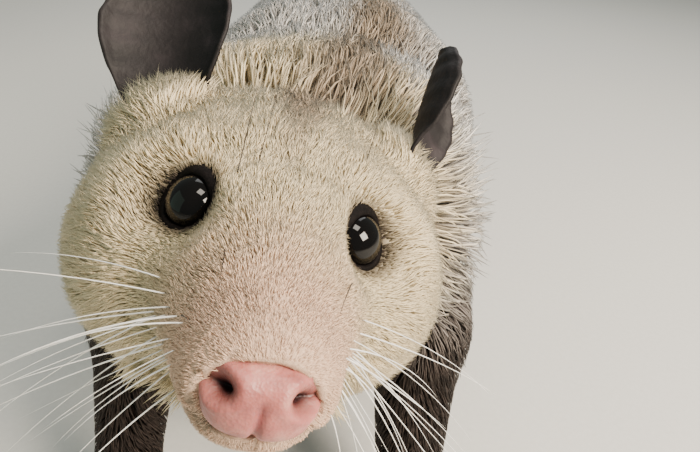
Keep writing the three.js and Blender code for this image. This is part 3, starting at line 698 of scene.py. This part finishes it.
def hair_finish(name, shaded_root_level, tones, roughness):
    material, tree = new_finish(name)
    along = marked(tree, "along")
    # Painted shade: each tuft is darkened towards its root, where the coat shades itself.
    depth_shade = ramped(tree, along, [(0.0, grey(shaded_root_level)), (0.6, grey(1.0))])
    tint = mixed(tree, 1.0, pelt_colour(tree, along), depth_shade, "MULTIPLY")
    tint = mixed(tree, 1.0, tint, ramped(tree, marked(tree, "tone"), tones), "MULTIPLY")
    surface(tree, {"Base Color": tint, "Roughness": roughness, "Specular IOR Level": 0.2})
    return material


TUFT_SHARE = 1.0


# Face coat: short, soft, cream hair that lies back from the nose, parts round the eyes, and lengthens
# over the crown and the cheeks into a ruff.
FACE_PIECES = 4
FACE_TUFTS = 17500
HAIR_BACK = [-50, -35, -10, 10, 30, 58]
HAIR_LENGTH = [1.3, 3.0, 5.5, 9.5, 16, 24]
HAIR_HALF_WIDTH = [0.08, 0.11, 0.16, 0.2, 0.27, 0.35]
HAIR_DENSITY = [4.0, 3.0, 2.0, 1.5, 1.1, 0.6]


def eye_distance(points):
    return np.linalg.norm(folded_over(to_head(points)) - LID_MIDDLE, axis=1)


def face_density(points):
    back = to_head(points)[:, 1]
    bare_nose = 1 - nose_bed(to_head(points))
    bare_lid = smooth_step(eye_distance(points), 6.0, 8.0)
    return bare_nose * bare_lid * (back < 58) * np.interp(back, HAIR_BACK, HAIR_DENSITY)


# Face hair: soft and matt, each tuft a little lighter or darker than the next, paler at its tip, and
# darkened towards its root with painted shade.
face_hair = hair_finish("face_hair", 0.8, [(0.0, grey(0.86)), (1.0, grey(1.06))], 0.65)
for part in range(FACE_PIECES):
    draw = np.random.default_rng(100 + part)
    count = int(FACE_TUFTS * TUFT_SHARE)
    roots, uvs = roots_where(face_density, count, draw)
    normals = outward_of(roots, 0.4)
    lie = lie_of(roots, normals)
    back = to_head(roots)[:, 1]
    by_eye = np.interp(eye_distance(roots), [6, 9, 16], [0.22, 0.4, 1.0])
    length = np.interp(back, HAIR_BACK, HAIR_LENGTH) * by_eye * draw.uniform(0.7, 1.3, count)
    sway = 0.3 * ripple(roots, 7.0) + draw.normal(0, 0.14, count)
    lift = coat_depth(roots) * draw.uniform(0.6, 1.0, count) * np.sqrt(by_eye)
    spines = spines_of(roots, normals, lie, length, lift, 3, sway, 0.03)
    half = np.interp(back, HAIR_BACK, HAIR_HALF_WIDTH) * draw.uniform(0.8, 1.25, count)
    half_widths = half[:, None] * np.array([1.0, 0.8])
    tone = draw.random(count)
    tufts(f"face_coat_{part + 1}", face_hair, "face_coat", roots, uvs, spines, half_widths, normals, tone)

# Body coat: long, loose hair, grey below and white at the tip, with stray white guard hairs over the
# dark underfur, that lies back along the trunk and down the dark legs.
BODY_PIECES = 4
BODY_TUFTS = 11500
DEPTH_STEPS = [0.6, 2, 6, 12, 19]
BODY_HAIR_LENGTH = [2.5, 6, 16, 30, 46]


def body_density(points):
    back = to_head(points)[:, 1]
    limb = smooth_step(outside_trunk(points) - outside_legs(points), -6, 10)
    by_height = np.interp(points[:, 2], [14, 22, 40, 110], [0.0, 3.5, 3.0, 1.2])
    return smooth_step(back, 38, 62) * (1 + limb * by_height) * (points[:, 1] < 236)


def raised_to_outline(spines, depth):
    stations = spines.shape[1]
    for station in range(1, stations):
        level = -depth * (1 - math.sin(station / (stations - 1) * math.pi / 2) ** BEND)
        points = spines[:, station]
        for _ in range(2):
            here, slope = slope_of(outside_coat, points, 1.0)
            step = (level - here) / np.maximum((slope**2).sum(1), 0.4)
            points = points + slope * np.clip(step, -4, 4)[:, None]
        spines[:, station] = points
    return spines


# Body hair: coarser and grizzled, from dusky strands to stray white guard hairs, with a faint sheen and
# strong painted shade towards the roots.
body_tones = [(0.0, grey(0.5)), (0.55, grey(0.85)), (0.8, grey(1.0)), (1.0, grey(1.25))]
body_hair = hair_finish("body_hair", 0.6, body_tones, 0.6)
for part in range(BODY_PIECES):
    draw = np.random.default_rng(200 + part)
    count = int(BODY_TUFTS * TUFT_SHARE)
    roots, uvs = roots_where(body_density, count, draw)
    normals = outward_of(roots, 2.0)
    lie = lie_of(roots, normals)
    depth = coat_depth(roots)
    length = np.interp(depth, DEPTH_STEPS, BODY_HAIR_LENGTH) * draw.uniform(0.7, 1.2, count)
    sway = 0.3 * ripple(roots, 22.0) + draw.normal(0, 0.12, count)
    spines = spines_of(roots, normals, lie, length, depth, 4, sway, 0.03)
    spines = raised_to_outline(spines, depth * draw.uniform(0.7, 1.0, count))
    half = np.interp(length, [3, 10, 45], [0.24, 0.34, 0.55]) * draw.uniform(0.7, 1.25, count)
    half_widths = half[:, None] * np.array([0.8, 1.0, 0.7])
    tone = draw.random(count)
    tufts(f"body_coat_{part + 1}", body_hair, "body_coat", roots, uvs, spines, half_widths, normals, tone)

# Ear tufts: longer cream hair that stands up in front of the ears and hides where they root. It grows
# from the same skin as the rest of the coat, and is longest towards the crown.
EAR_TUFTS = 1700
EAR_HAIR_REACH = 12
EAR_HAIR_LENGTH = (7, 12)
CROWN_HAIR_MORE = 7
EAR_CARRIAGE = {
    "left": {"base": (39, 41, 15), "up": (0.03, 0.5, 0.86), "face": (0.95, -0.28, 0.2)},
    "right": {"base": (-36, 42, 16), "up": (0, 0.5, 0.86), "face": (-0.35, -0.75, 0.5)},
}
for name, carriage in EAR_CARRIAGE.items():
    draw = np.random.default_rng(300)
    count = int(EAR_TUFTS * TUFT_SHARE)
    before_ear = np.array(carriage["base"], float) - (0, 10, 2)

    def by_ear(points, middle=before_ear):
        return np.linalg.norm((to_head(points) - middle) / (1.2, 0.9, 1), axis=1) < EAR_HAIR_REACH

    roots, uvs = roots_where(by_ear, count, draw)
    normals = outward_of(roots, 0.4)
    upward = unit(carriage["up"]) @ HEAD_TURN.T
    lie = unit(lie_of(roots, normals) + 0.6 * upward)
    inner = smooth_step(-np.sign(before_ear[0]) * (to_head(roots)[:, 0] - before_ear[0]), -6, 12)
    length = draw.uniform(*EAR_HAIR_LENGTH, count) + CROWN_HAIR_MORE * inner
    sway = draw.normal(0, 0.2, count)
    spines = spines_of(roots, normals, lie, length, 0.12 * length, 4, sway, 0.0)
    half_widths = draw.uniform(0.22, 0.4, count)[:, None] * np.array([0.9, 1.0, 0.7])
    tone = draw.random(count)
    tufts(f"ear_tufts_{name}", face_hair, "face_coat", roots, uvs, spines, half_widths, normals, tone)

# Eyes: large, black and wet, a full ball in each orbit, with a dark lid that swells round it and draws
# out to a corner before and behind.
EYE_RADIUS = 6.8
EYE_DEPTH = 4.2
LID_RIM = [(-0.3, -0.5), (-0.1, 0.3), (0.4, 0.6), (1.1, 0.4)]
LID_SKIRT = [(2, -0.4), (3, -1.8), (2.8, -3.4), (1, -2.6)]
LID_STEPS = 56
LID_OPENING = 5.7
LID_CORNER = 0.7
LID_CLEARANCE = 0.15
EYE_GAZE = np.array([0.62, -0.73, 0.3])
# Wet eye: a black mirror under a film of tears, with small hard highlights and the fur faintly in it.
eye_finish, tree = new_finish("wet_eye")
surface(tree, {"Base Color": colour("0a0808"), "Roughness": 0.05, "IOR": 1.38})
# Lid skin: bare, black and dull, so that it reads as one dark shape with the eye.
lid_finish, tree = new_finish("lid_skin")
wrinkles = noise(tree, own_place(tree), 0.7)
tint = ramped(tree, wrinkles, [(0.3, colour("080606")), (0.75, colour("151010"))])
dull = {"Base Color": tint, "Roughness": 0.7, "Specular IOR Level": 0.1}
surface(tree, dull, relief(tree, wrinkles, 0.3))


def join_rings(bm, rings, closed_round=False):
    steps, sides = rings.shape[:2]
    verts = [[bm.verts.new(metres(point)) for point in ring] for ring in rings]
    for step in range(steps if closed_round else steps - 1):
        here, there = verts[step], verts[(step + 1) % steps]
        for side in range(sides):
            after = (side + 1) % sides
            bm.faces.new((here[side], here[after], there[after], there[side]))
    if not closed_round:
        bm.faces.new(verts[0][::-1])
        bm.faces.new(verts[-1])


def ringed_piece(name, bm, material, slot):
    bmesh.ops.recalc_face_normals(bm, faces=bm.faces)
    mesh = mesh_of(name, bm)
    shade_smooth(mesh)
    return new_piece(name, mesh, material, slot)


for name, side in SIDES.items():
    sided = np.array([side, 1, 1])
    outward = unit(EYE_GAZE * sided)
    centre = (LID_MIDDLE - LID_OUTWARD * EYE_DEPTH) * sided
    backward = np.array([0.45 * side, 1.0, 0.25])
    backward = unit(backward - outward * np.dot(backward, outward))
    above = np.cross(outward, backward)
    turn = Matrix((backward, above, outward)).transposed()
    at_eye = Matrix.Translation(metres(from_head(centre))) @ head_turn @ turn.to_4x4()
    bm = bmesh.new()
    bmesh.ops.create_uvsphere(bm, u_segments=64, v_segments=40, radius=EYE_RADIUS * MM, matrix=at_eye)
    mesh = mesh_of(f"eyeball_{name}", bm)
    shade_smooth(mesh)
    eyeball = new_piece(f"eyeball_{name}", mesh, eye_finish, "eye")
    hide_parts(f"eye_{name}")
    rings = []
    for angle in np.linspace(0, math.tau, LID_STEPS, endpoint=False):
        spoke = backward * math.cos(angle) + above * math.sin(angle)
        corner = abs(math.cos(angle)) ** 3
        opening = LID_OPENING + LID_CORNER * corner
        rim = centre + outward * (math.sqrt(EYE_RADIUS**2 - opening**2) + LID_CLEARANCE)
        swell = 1 - 0.45 * corner
        places = [(opening + out * 1.05, rise * swell) for out, rise in LID_RIM + LID_SKIRT]
        rings.append([rim + spoke * out + outward * rise for out, rise in places])
    bm = bmesh.new()
    join_rings(bm, from_head(np.array(rings)), closed_round=True)
    ringed_piece(f"lids_{name}", bm, lid_finish, "eye")

# Nose: a bare, pink, pebbled pad with a comma nostril at each side and a furrow down its middle, drawn
# down to the lip.
NOSTRIL = np.array([6.6, -52.6, -14.9])
NOSE_SQUARENESS = 2.7
PIT_DEPTH = 3.8
FURROW_DEPTH = 0.9
SLIT_DEPTH = 0.9
WING_RISE = 0.5
PEBBLE = 0.55
bm = bmesh.new()
bmesh.ops.create_uvsphere(bm, u_segments=128, v_segments=80, radius=1)
mesh = mesh_of("nose_pad", bm)
direction = unit(mesh_points(mesh))
squared = (np.abs(direction) ** NOSE_SQUARENESS).sum(1, keepdims=True) ** (-1 / NOSE_SQUARENESS)
head_points = direction * squared * NOSE_SIZE + NOSE_MIDDLE
off_middle = np.abs(head_points[:, 0])
nostril_distance = np.linalg.norm((folded_over(head_points) - NOSTRIL) / (1.1, 1.2, 0.8), axis=1)
pit = np.exp(-((nostril_distance / 1.9) ** 2))
wing = np.exp(-(((nostril_distance - 3.6) / 1.3) ** 2))
slit = np.exp(-(((head_points[:, 2] + 14.3 + 0.35 * (off_middle - 6.6)) / 0.6) ** 2))
slit = slit * smooth_step(off_middle, 6.5, 8.5) * smooth_step(-head_points[:, 1], 44, 48)
front = smooth_step(-head_points[:, 1], 48, 53)
furrow = np.exp(-((off_middle / 0.7) ** 2)) * front * smooth_step(-head_points[:, 2], 14, 18)
sink = PIT_DEPTH * pit + FURROW_DEPTH * furrow + SLIT_DEPTH * slit - WING_RISE * wing
head_points -= direction * sink[:, None]
set_mesh_points(mesh, metres(from_head(head_points)))
shade_smooth(mesh)
mark(mesh, "nostril_shade", np.clip(pit * 1.35 + 0.5 * slit, 0, 1))
mark(mesh, "furrow", furrow)
# Nose skin: moist and pebbled, mottled pink, with light that sinks in a little, and painted shade in the
# nostrils and down the middle furrow.
nose_finish, tree = new_finish("nose_skin")
place = own_place(tree)
pebble_inputs = {"Vector": place, "Scale": 1 / (PEBBLE * MM)}
pebbles = add(tree, "ShaderNodeTexVoronoi", pebble_inputs).outputs["Distance"]
mottle = noise(tree, place, 4.0)
pinks = [(0.32, colour("985854")), (0.55, colour("b5706a")), (0.75, colour("c88f84"))]
tint = ramped(tree, mottle, pinks)
# Painted shade: the middle furrow is darkened.
tint = mixed(tree, marked(tree, "furrow"), tint, colour("a25c5b"))
# Painted shade: the nostril pits and slits are near black.
tint = mixed(tree, marked(tree, "nostril_shade"), tint, colour("2a0f12"))
moist = {"Base Color": tint, "Roughness": 0.44, "Subsurface Weight": 0.25, "Subsurface Scale": 0.002}
surface(tree, moist, relief(tree, pebbles, 0.22, 0.35))
nose = new_piece("nose_pad", mesh, nose_finish, "pink_skin")
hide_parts("nose")

# Ears: bare, thin, leathery leaves, near black, with a cupped blade, a rolled edge and fine folds. The
# left one is swivelled out and the right one faces forwards.
EAR_LENGTH = 44
EAR_WIDTH = 38
EAR_CUP = 9
EAR_EDGE_THICK = 1.1
# Ear leather: thin, near-black skin, blotched with a warmer grey, dull, and finely crinkled.
ear_finish, tree = new_finish("ear_leather")
place = own_place(tree)
crinkle = noise(tree, place, 1.8, 6.0)
blotch = noise(tree, place, 11.0, 3.0)
blacks = [(0.3, colour("151213")), (0.55, colour("1f1b1d")), (0.8, colour("352e31"))]
tint = ramped(tree, blotch, blacks)
leather = {"Base Color": tint, "Roughness": 0.62, "Specular IOR Level": 0.3}
surface(tree, leather, relief(tree, crinkle, 0.5))
for name, carriage in EAR_CARRIAGE.items():
    up = unit(carriage["up"])
    across = unit(np.cross(up, carriage["face"]))
    forward = unit(np.cross(across, up))
    bm = bmesh.new()
    bmesh.ops.create_grid(bm, x_segments=48, y_segments=56, size=1)
    mesh = mesh_of(f"ear_leaf_{name}", bm)
    grid = mesh_points(mesh)
    x, t = grid[:, 0], (grid[:, 1] + 1) / 2
    spread = 0.55 + 0.62 * np.sin(math.pi * np.minimum(t, 0.62) * 0.8)
    outline = spread * np.sqrt(np.maximum(0, 1 - np.maximum(0, (t - 0.45) / 0.55) ** 2.4))
    half = EAR_WIDTH / 2 * 0.86 * np.maximum(outline, 0.02)
    off_centre = x * half / (EAR_WIDTH / 2)
    cup = EAR_CUP * np.minimum(1, t * 4) * off_centre**2 - 2 + 5 * t * t
    folds = 0.35 * np.sin(t * 42 + 3 * x * x) * smooth_step(np.abs(x), 0.1, 0.7) * t
    rolled = 1.4 * smooth_step(np.abs(x), 0.86, 1.0) * smooth_step(t, 0.15, 0.4)
    leaf = np.array(carriage["base"]) + up * (t * EAR_LENGTH - 3)[:, None]
    leaf = leaf + across * (x * half)[:, None] + forward * (cup + folds + rolled)[:, None]
    set_mesh_points(mesh, metres(from_head(leaf)))
    shade_smooth(mesh)
    ear_leaf = new_piece(f"ear_leaf_{name}", mesh, ear_finish, "ear_skin")
    thickness = ear_leaf.modifiers.new("thickness", "SOLIDIFY")
    thickness.thickness = EAR_EDGE_THICK * MM
    thickness.offset = 0
    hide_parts(f"ear_{name}")

# Feet: bare pink hands and soles with fleshy, knuckled toes, dusky above, and horn claws. Each foot is
# one fused skin and its claws are a piece of their own.
FOOT_CELL = 1.0
TOE_RADIUS = 3.4
CLAW_LENGTH = 7
FORE_TOES = list(zip([-62, -30, -4, 22, 52], [15, 20, 22, 20, 15]))
HIND_TOES = list(zip([-8, 8, 24, 40], [20, 22, 21, 18]))
KNUCKLES = [(0, 7, 1.1), (0.4, 7.2, 0.95), (0.75, 4.6, 1.0), (0.97, 3.4, 0.85)]
# Foot skin: creased pink skin that darkens to dusky brown above the toes.
foot_finish, tree = new_finish("foot_skin")
place = own_place(tree)
creases = noise(tree, place, 1.6, 5.0)
height = add(tree, "ShaderNodeSeparateXYZ", {0: place}).outputs["Z"]
raised = add(tree, "ShaderNodeMath", {0: height, 1: 40.0}, operation="MULTIPLY").outputs[0]
dusk = ramped(tree, raised, [(0.25, grey(0.0)), (0.85, grey(1.0))])
tint = two_toned(tree, creases, "b58479", "dbb3a8")
tint = mixed(tree, dusk, tint, colour("4a3b38"))
bare = {"Base Color": tint, "Roughness": 0.5, "Subsurface Weight": 0.15, "Subsurface Scale": 0.002}
surface(tree, bare, relief(tree, creases, 0.4))
# Claw horn: smooth, pale and streaked, with a low gloss.
claw_finish, tree = new_finish("claw_horn")
streaks = noise(tree, own_place(tree), 0.9)
horn = {"Base Color": two_toned(tree, streaks, "b9a58c", "e2d5bf"), "Roughness": 0.3}
surface(tree, horn, relief(tree, streaks, 0.1))


def along_heading(start, heading, far, height):
    return (start[0] + math.sin(heading) * far, start[1] - math.cos(heading) * far, height)


def toe_masses(start, heading, length, radius):
    places = [along_heading(start, heading, length * far, height) for far, height, _ in KNUCKLES]
    sizes = [radius * size for _, _, size in KNUCKLES]
    return [bone(places[n], places[n + 1], sizes[n], sizes[n + 1]) for n in range(3)]


def claw_rings(start, heading, length):
    rings = []
    wide = np.array([math.cos(heading), math.sin(heading), 0])
    turns = np.linspace(0, math.tau, 8, endpoint=False)
    for t in np.linspace(0, 1, 9):
        far = length - 2.5 + (CLAW_LENGTH + 2.5) * t
        height = 4.2 + 1.2 * math.sin(math.pi * t) - 3.0 * t * t
        middle = np.array(along_heading(start, heading, far, height))
        radius = 1.5 * (1 - t) ** 0.6 + 0.12
        ring = [middle + wide * radius * 0.7 * math.cos(a) + (0, 0, radius * math.sin(a)) for a in turns]
        rings.append(ring)
    return np.array(rings)


def foot(name, node, masses, toes):
    for start, heading, length in toes:
        masses = masses + toe_masses(start, heading, length, TOE_RADIUS)
    bm = bmesh.new()
    string_beads(bm, masses)
    piece = fused(name, bm, FOOT_CELL)
    relaxed(piece.data, 3)
    points = in_own_frame(piece.data)
    points[:, 2] = np.maximum(points[:, 2], 0.3)
    set_mesh_points(piece.data, metres(points))
    shade_smooth(piece.data)
    piece.data.materials.append(foot_finish)
    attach(piece, "root")
    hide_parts(node)
    for number, (start, heading, length) in enumerate(toes):
        bm = bmesh.new()
        join_rings(bm, claw_rings(start, heading, length))
        ringed_piece(f"{name}_claw_{number + 1}", bm, claw_finish, "pink_skin")


for name, side in SIDES.items():
    x, y = 58 * side, -156
    toes = []
    for angle, length in FORE_TOES:
        heading = math.radians(angle * side)
        toes.append(((x + 9 * math.sin(heading), y - 10 - 7 * math.cos(heading)), heading, length))
    palm = [ball((x, y - 8, 7), (12, 14.5, 7.5)), ball((x - 5, y - 14, 4), (5, 5, 3.8))]
    palm += [ball((x + 5, y - 14, 4), (5, 5, 3.8)), bone((59 * side, -150, 30), (x, y - 3, 9), 10.5, 8.5)]
    foot(f"hand_{name}", f"forepaw_{name}", palm, toes)
    x, y = 56 * side + RUMP_SHIFT, 136
    toes = []
    for angle, length in HIND_TOES:
        heading = math.radians(angle * side)
        toes.append(((x + side * 3 + 11 * math.sin(heading - side * 0.25), y - 40), heading, length))
    sole = [bone((x, y - 4, 7.5), (x + 2 * side, y - 34, 6.5), 9, 8.5)]
    sole += [bone((x, y - 3, 30), (x, y - 4, 9), 10.5, 8.5)]
    sole += [ball((x + side * 3, y - 40, 5.5), (11, 10, 5.5))]
    thumb = math.radians(-72 * side)
    sole += toe_masses((x - side * 6, y - 24), thumb, 19, 4.4)
    foot(f"sole_{name}", f"hindfoot_{name}", sole, toes)

# Tail: round, bare and scaly, black for its first third and pinkish white beyond. It is one tapered tube
# that leaves the rump's hair, comes down to the floor and curls round on it.
TAIL_PATH = [
    (8, 196, 134),
    (10, 236, 112),
    (10, 276, 68),
    (4, 314, 24),
    (-18, 352, 8),
    (-58, 382, 6),
    (-102, 382, 5),
    (-134, 356, 4),
]
TAIL_RADII = [15, 13.5, 12, 10.5, 9, 7.5, 6, 3]
TAIL_STEPS = 260
TAIL_SIDES = 28
SCALE_LENGTH = 2.2
SCALES_ROUND = 24
BLACK_SHARE = (0.3, 0.38)


def smooth_path(points, count):
    points = np.array(points, float)
    ends = np.concatenate([[2 * points[0] - points[1]], points, [2 * points[-1] - points[-2]]])
    places = np.linspace(0, len(points) - 1 - 1e-6, count)
    start = places.astype(int)
    t = (places - start)[:, None]
    a, b, c, d = (ends[start + n] for n in range(4))
    squares = (2 * a - 5 * b + 4 * c - d) * t**2
    return 0.5 * (2 * b + (c - a) * t + squares + (3 * b - a - 3 * c + d) * t**3)


def tube_rings(path, radii, sides):
    heading = unit(np.gradient(path, axis=0))
    wide = unit(np.cross(heading, (0.02, 0.03, 1.0)))
    high = np.cross(wide, heading)
    turns = np.linspace(0, math.tau, sides, endpoint=False)
    round_part = np.cos(turns)[None, :, None] * wide[:, None]
    round_part = round_part + np.sin(turns)[None, :, None] * high[:, None]
    return path[:, None] + round_part * np.asarray(radii)[:, None, None]


path = smooth_path(TAIL_PATH, TAIL_STEPS)
places = np.linspace(0, len(TAIL_RADII) - 1, TAIL_STEPS)
tail_radii = np.interp(places, range(len(TAIL_RADII)), TAIL_RADII)
tail_radii[-8:] *= np.sqrt(np.linspace(1, 0.05, 8))
path[:, 2] = np.maximum(path[:, 2], tail_radii * 0.97)
# Tail scales: dry skin in small scales with painted shade in the grooves between them, mottled where it is
# pale.
tail_finish, tree = new_finish("tail_scales")
scale_axes = {"X": marked(tree, "run"), "Y": marked(tree, "turn")}
scale_place = add(tree, "ShaderNodeCombineXYZ", scale_axes).outputs[0]
scale_inputs = {"Vector": scale_place, "Scale": 1.0, "Randomness": 0.25}
scales = add(tree, "ShaderNodeTexVoronoi", scale_inputs, feature="DISTANCE_TO_EDGE").outputs["Distance"]
mottle = noise(tree, own_place(tree), 7.0)
tint = two_toned(tree, mottle, "b89c90", "dcc7bb")
tint = mixed(tree, marked(tree, "base"), tint, colour("2a2422"))
# Painted shade: the grooves between the scales are darkened.
groove = ramped(tree, scales, [(0.0, grey(0.5)), (0.12, grey(1.0))])
tint = mixed(tree, 1.0, tint, groove, "MULTIPLY")
surface(tree, {"Base Color": tint, "Roughness": 0.55}, relief(tree, groove, 0.4, 0.6))
bm = bmesh.new()
join_rings(bm, tube_rings(path, tail_radii, TAIL_SIDES))
tail = ringed_piece("tail_skin", bm, tail_finish, "tail_skin")
run_mm = np.concatenate([[0], np.cumsum(np.linalg.norm(np.diff(path, axis=0), axis=1))])
turns = np.abs(np.linspace(-1, 1, TAIL_SIDES, endpoint=False))
share_run = np.repeat(run_mm / run_mm[-1], TAIL_SIDES)
mark(tail.data, "run", np.repeat(run_mm / SCALE_LENGTH, TAIL_SIDES))
mark(tail.data, "turn", np.tile(turns * SCALES_ROUND / 2, TAIL_STEPS))
ragged = 0.02 * np.sin(np.arange(len(share_run)) * 0.7)
mark(tail.data, "base", 1 - smooth_step(share_run + ragged, *BLACK_SHARE))
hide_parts("tail_base", "tail_middle", "tail_tip")


# Whiskers: long, stiff, white bristles that fan out from the lips and taper to nothing, with a few fine
# dark ones over the snout and the brow. Each is a thin bent tube that roots under the skin.
BRISTLE_STEPS = 11
BRISTLE_SIDES = 5


def bristle_piece(name, bristles, material):
    bm = bmesh.new()
    for root, heading, length, bend, thick in bristles:
        t = np.linspace(0, 1, BRISTLE_STEPS)[:, None]
        spine = from_head(root + unit(heading) * length * t + np.array(bend) * t * t)
        join_rings(bm, tube_rings(spine, thick * (1.02 - t[:, 0]) ** 0.7, BRISTLE_SIDES))
    return ringed_piece(name, bm, material, "face_coat")


# Bristles: smooth, stiff and glossy, so that each catches the light as one clean line, white or brown.
def bristle_finish(name, low, high, roughness):
    material, tree = new_finish(name)
    sheen = noise(tree, own_place(tree), 5.0)
    surface(tree, {"Base Color": two_toned(tree, sheen, low, high), "Roughness": roughness})
    return material


white_bristle = bristle_finish("white_bristle", "e9e6df", "ffffff", 0.3)
dark_bristle = bristle_finish("dark_bristle", "1d1715", "3a302c", 0.4)

WHISKER_ROWS = 4
WHISKERS_IN_ROW = 5
WHISKER_LENGTHS = [24, 56]
for name, side in SIDES.items():
    draw = np.random.default_rng(400 + side)
    bristles = []
    for row in range(WHISKER_ROWS):
        for number in range(WHISKERS_IN_ROW):
            back = -38 + 4.8 * number + draw.uniform(-1.6, 1.6)
            height = -14 - 2.3 * row + draw.uniform(-0.9, 0.9)
            reach = np.interp(back, [-45, -10], [8, 15])
            near_lip = np.array([[side * reach, back, height]])
            root = settled(lambda points: outside_head(points) + 1.2, near_lip, 8)[0]
            fall = -0.15 - 0.34 * row + draw.uniform(-0.22, 0.22)
            heading = (side, 0.12 * number + draw.uniform(-0.25, 0.1), fall)
            length = np.interp(number, [0, 4], WHISKER_LENGTHS) * draw.uniform(0.7, 1.15)
            bend = (0, draw.uniform(0, 8), draw.uniform(-12, -3))
            bristles.append((root, heading, length, bend, draw.uniform(0.12, 0.19)))
    bristle_piece(f"whiskers_{name}", bristles, white_bristle)

DARK_BRISTLES = [
    ((-9.7, -29.9, -1.5), (0.02, -0.9, 0.1), 13, (0, 0, -3.5), 0.16),
    ((14.3, -26.2, -3.7), (-0.25, -0.9, 0.1), 15, (0, 0, -4.0), 0.16),
    ((-14.1, -37.0, -11.8), (0.2, -0.9, 0.35), 9, (0, 0, -1.0), 0.14),
    ((-10.6, -9.7, 9.6), (0.0, 0.75, 0.75), 34, (0, 8, 0), 0.13),
    ((-7.0, -8.0, 11.0), (0.05, 0.75, 0.75), 30, (0, 8, 0), 0.12),
    ((17.0, 6.0, 12.5), (0.2, 0.5, 0.85), 24, (0, 10, 0), 0.12),
]
bristle_piece("dark_bristles", DARK_BRISTLES, dark_bristle)

# Stage: a plain pale floor under soft studio light, warm from the animal's left and cool on its right.
# Neither is part of the animal.
bm = bmesh.new()
bmesh.ops.create_grid(bm, x_segments=1, y_segments=1, size=3)
# Studio paper: pale, even and matt, with only a trace of fibre.
floor_finish, tree = new_finish("studio_paper")
fibres = noise(tree, own_place(tree), 3.0)
paper = {"Base Color": two_toned(tree, fibres, "d6d5d1", "dbdad6"), "Roughness": 0.9}
surface(tree, paper, relief(tree, fibres, 0.05))
floor = new_piece("floor", mesh_of("floor", bm), floor_finish)

world = bpy.data.worlds.new("studio")
bpy.context.scene.world = world
world.use_nodes = True
world.node_tree.nodes["Background"].inputs["Color"].default_value = colour("c9d8d2")
world.node_tree.nodes["Background"].inputs["Strength"].default_value = 0.34


def soft_light(name, place, target, size, power, tint):
    data = bpy.data.lights.new(name, "AREA")
    data.size = size
    data.energy = power
    data.color = colour(tint)[:3]
    light = bpy.data.objects.new(name, data)
    bpy.context.scene.collection.objects.link(light)
    place, target = Vector(metres(place)), Vector(metres(target))
    light.location = place
    light.rotation_euler = (target - place).to_track_quat("-Z", "Y").to_euler()


HEAD_FRONT = (11, -200, 180)
soft_light("overhead_light", (264, -300, 1145), HEAD_FRONT, 0.34, 6, "fff4e4")
soft_light("key_light", (760, -600, 780), HEAD_FRONT, 0.45, 31, "fff0dc")
soft_light("fill_light", (-900, -500, 500), HEAD_FRONT, 0.9, 1.5, "bfe6cc")
soft_light("back_light", (200, 900, 1100), (0, 0, 100), 0.9, 8, "ffffff")
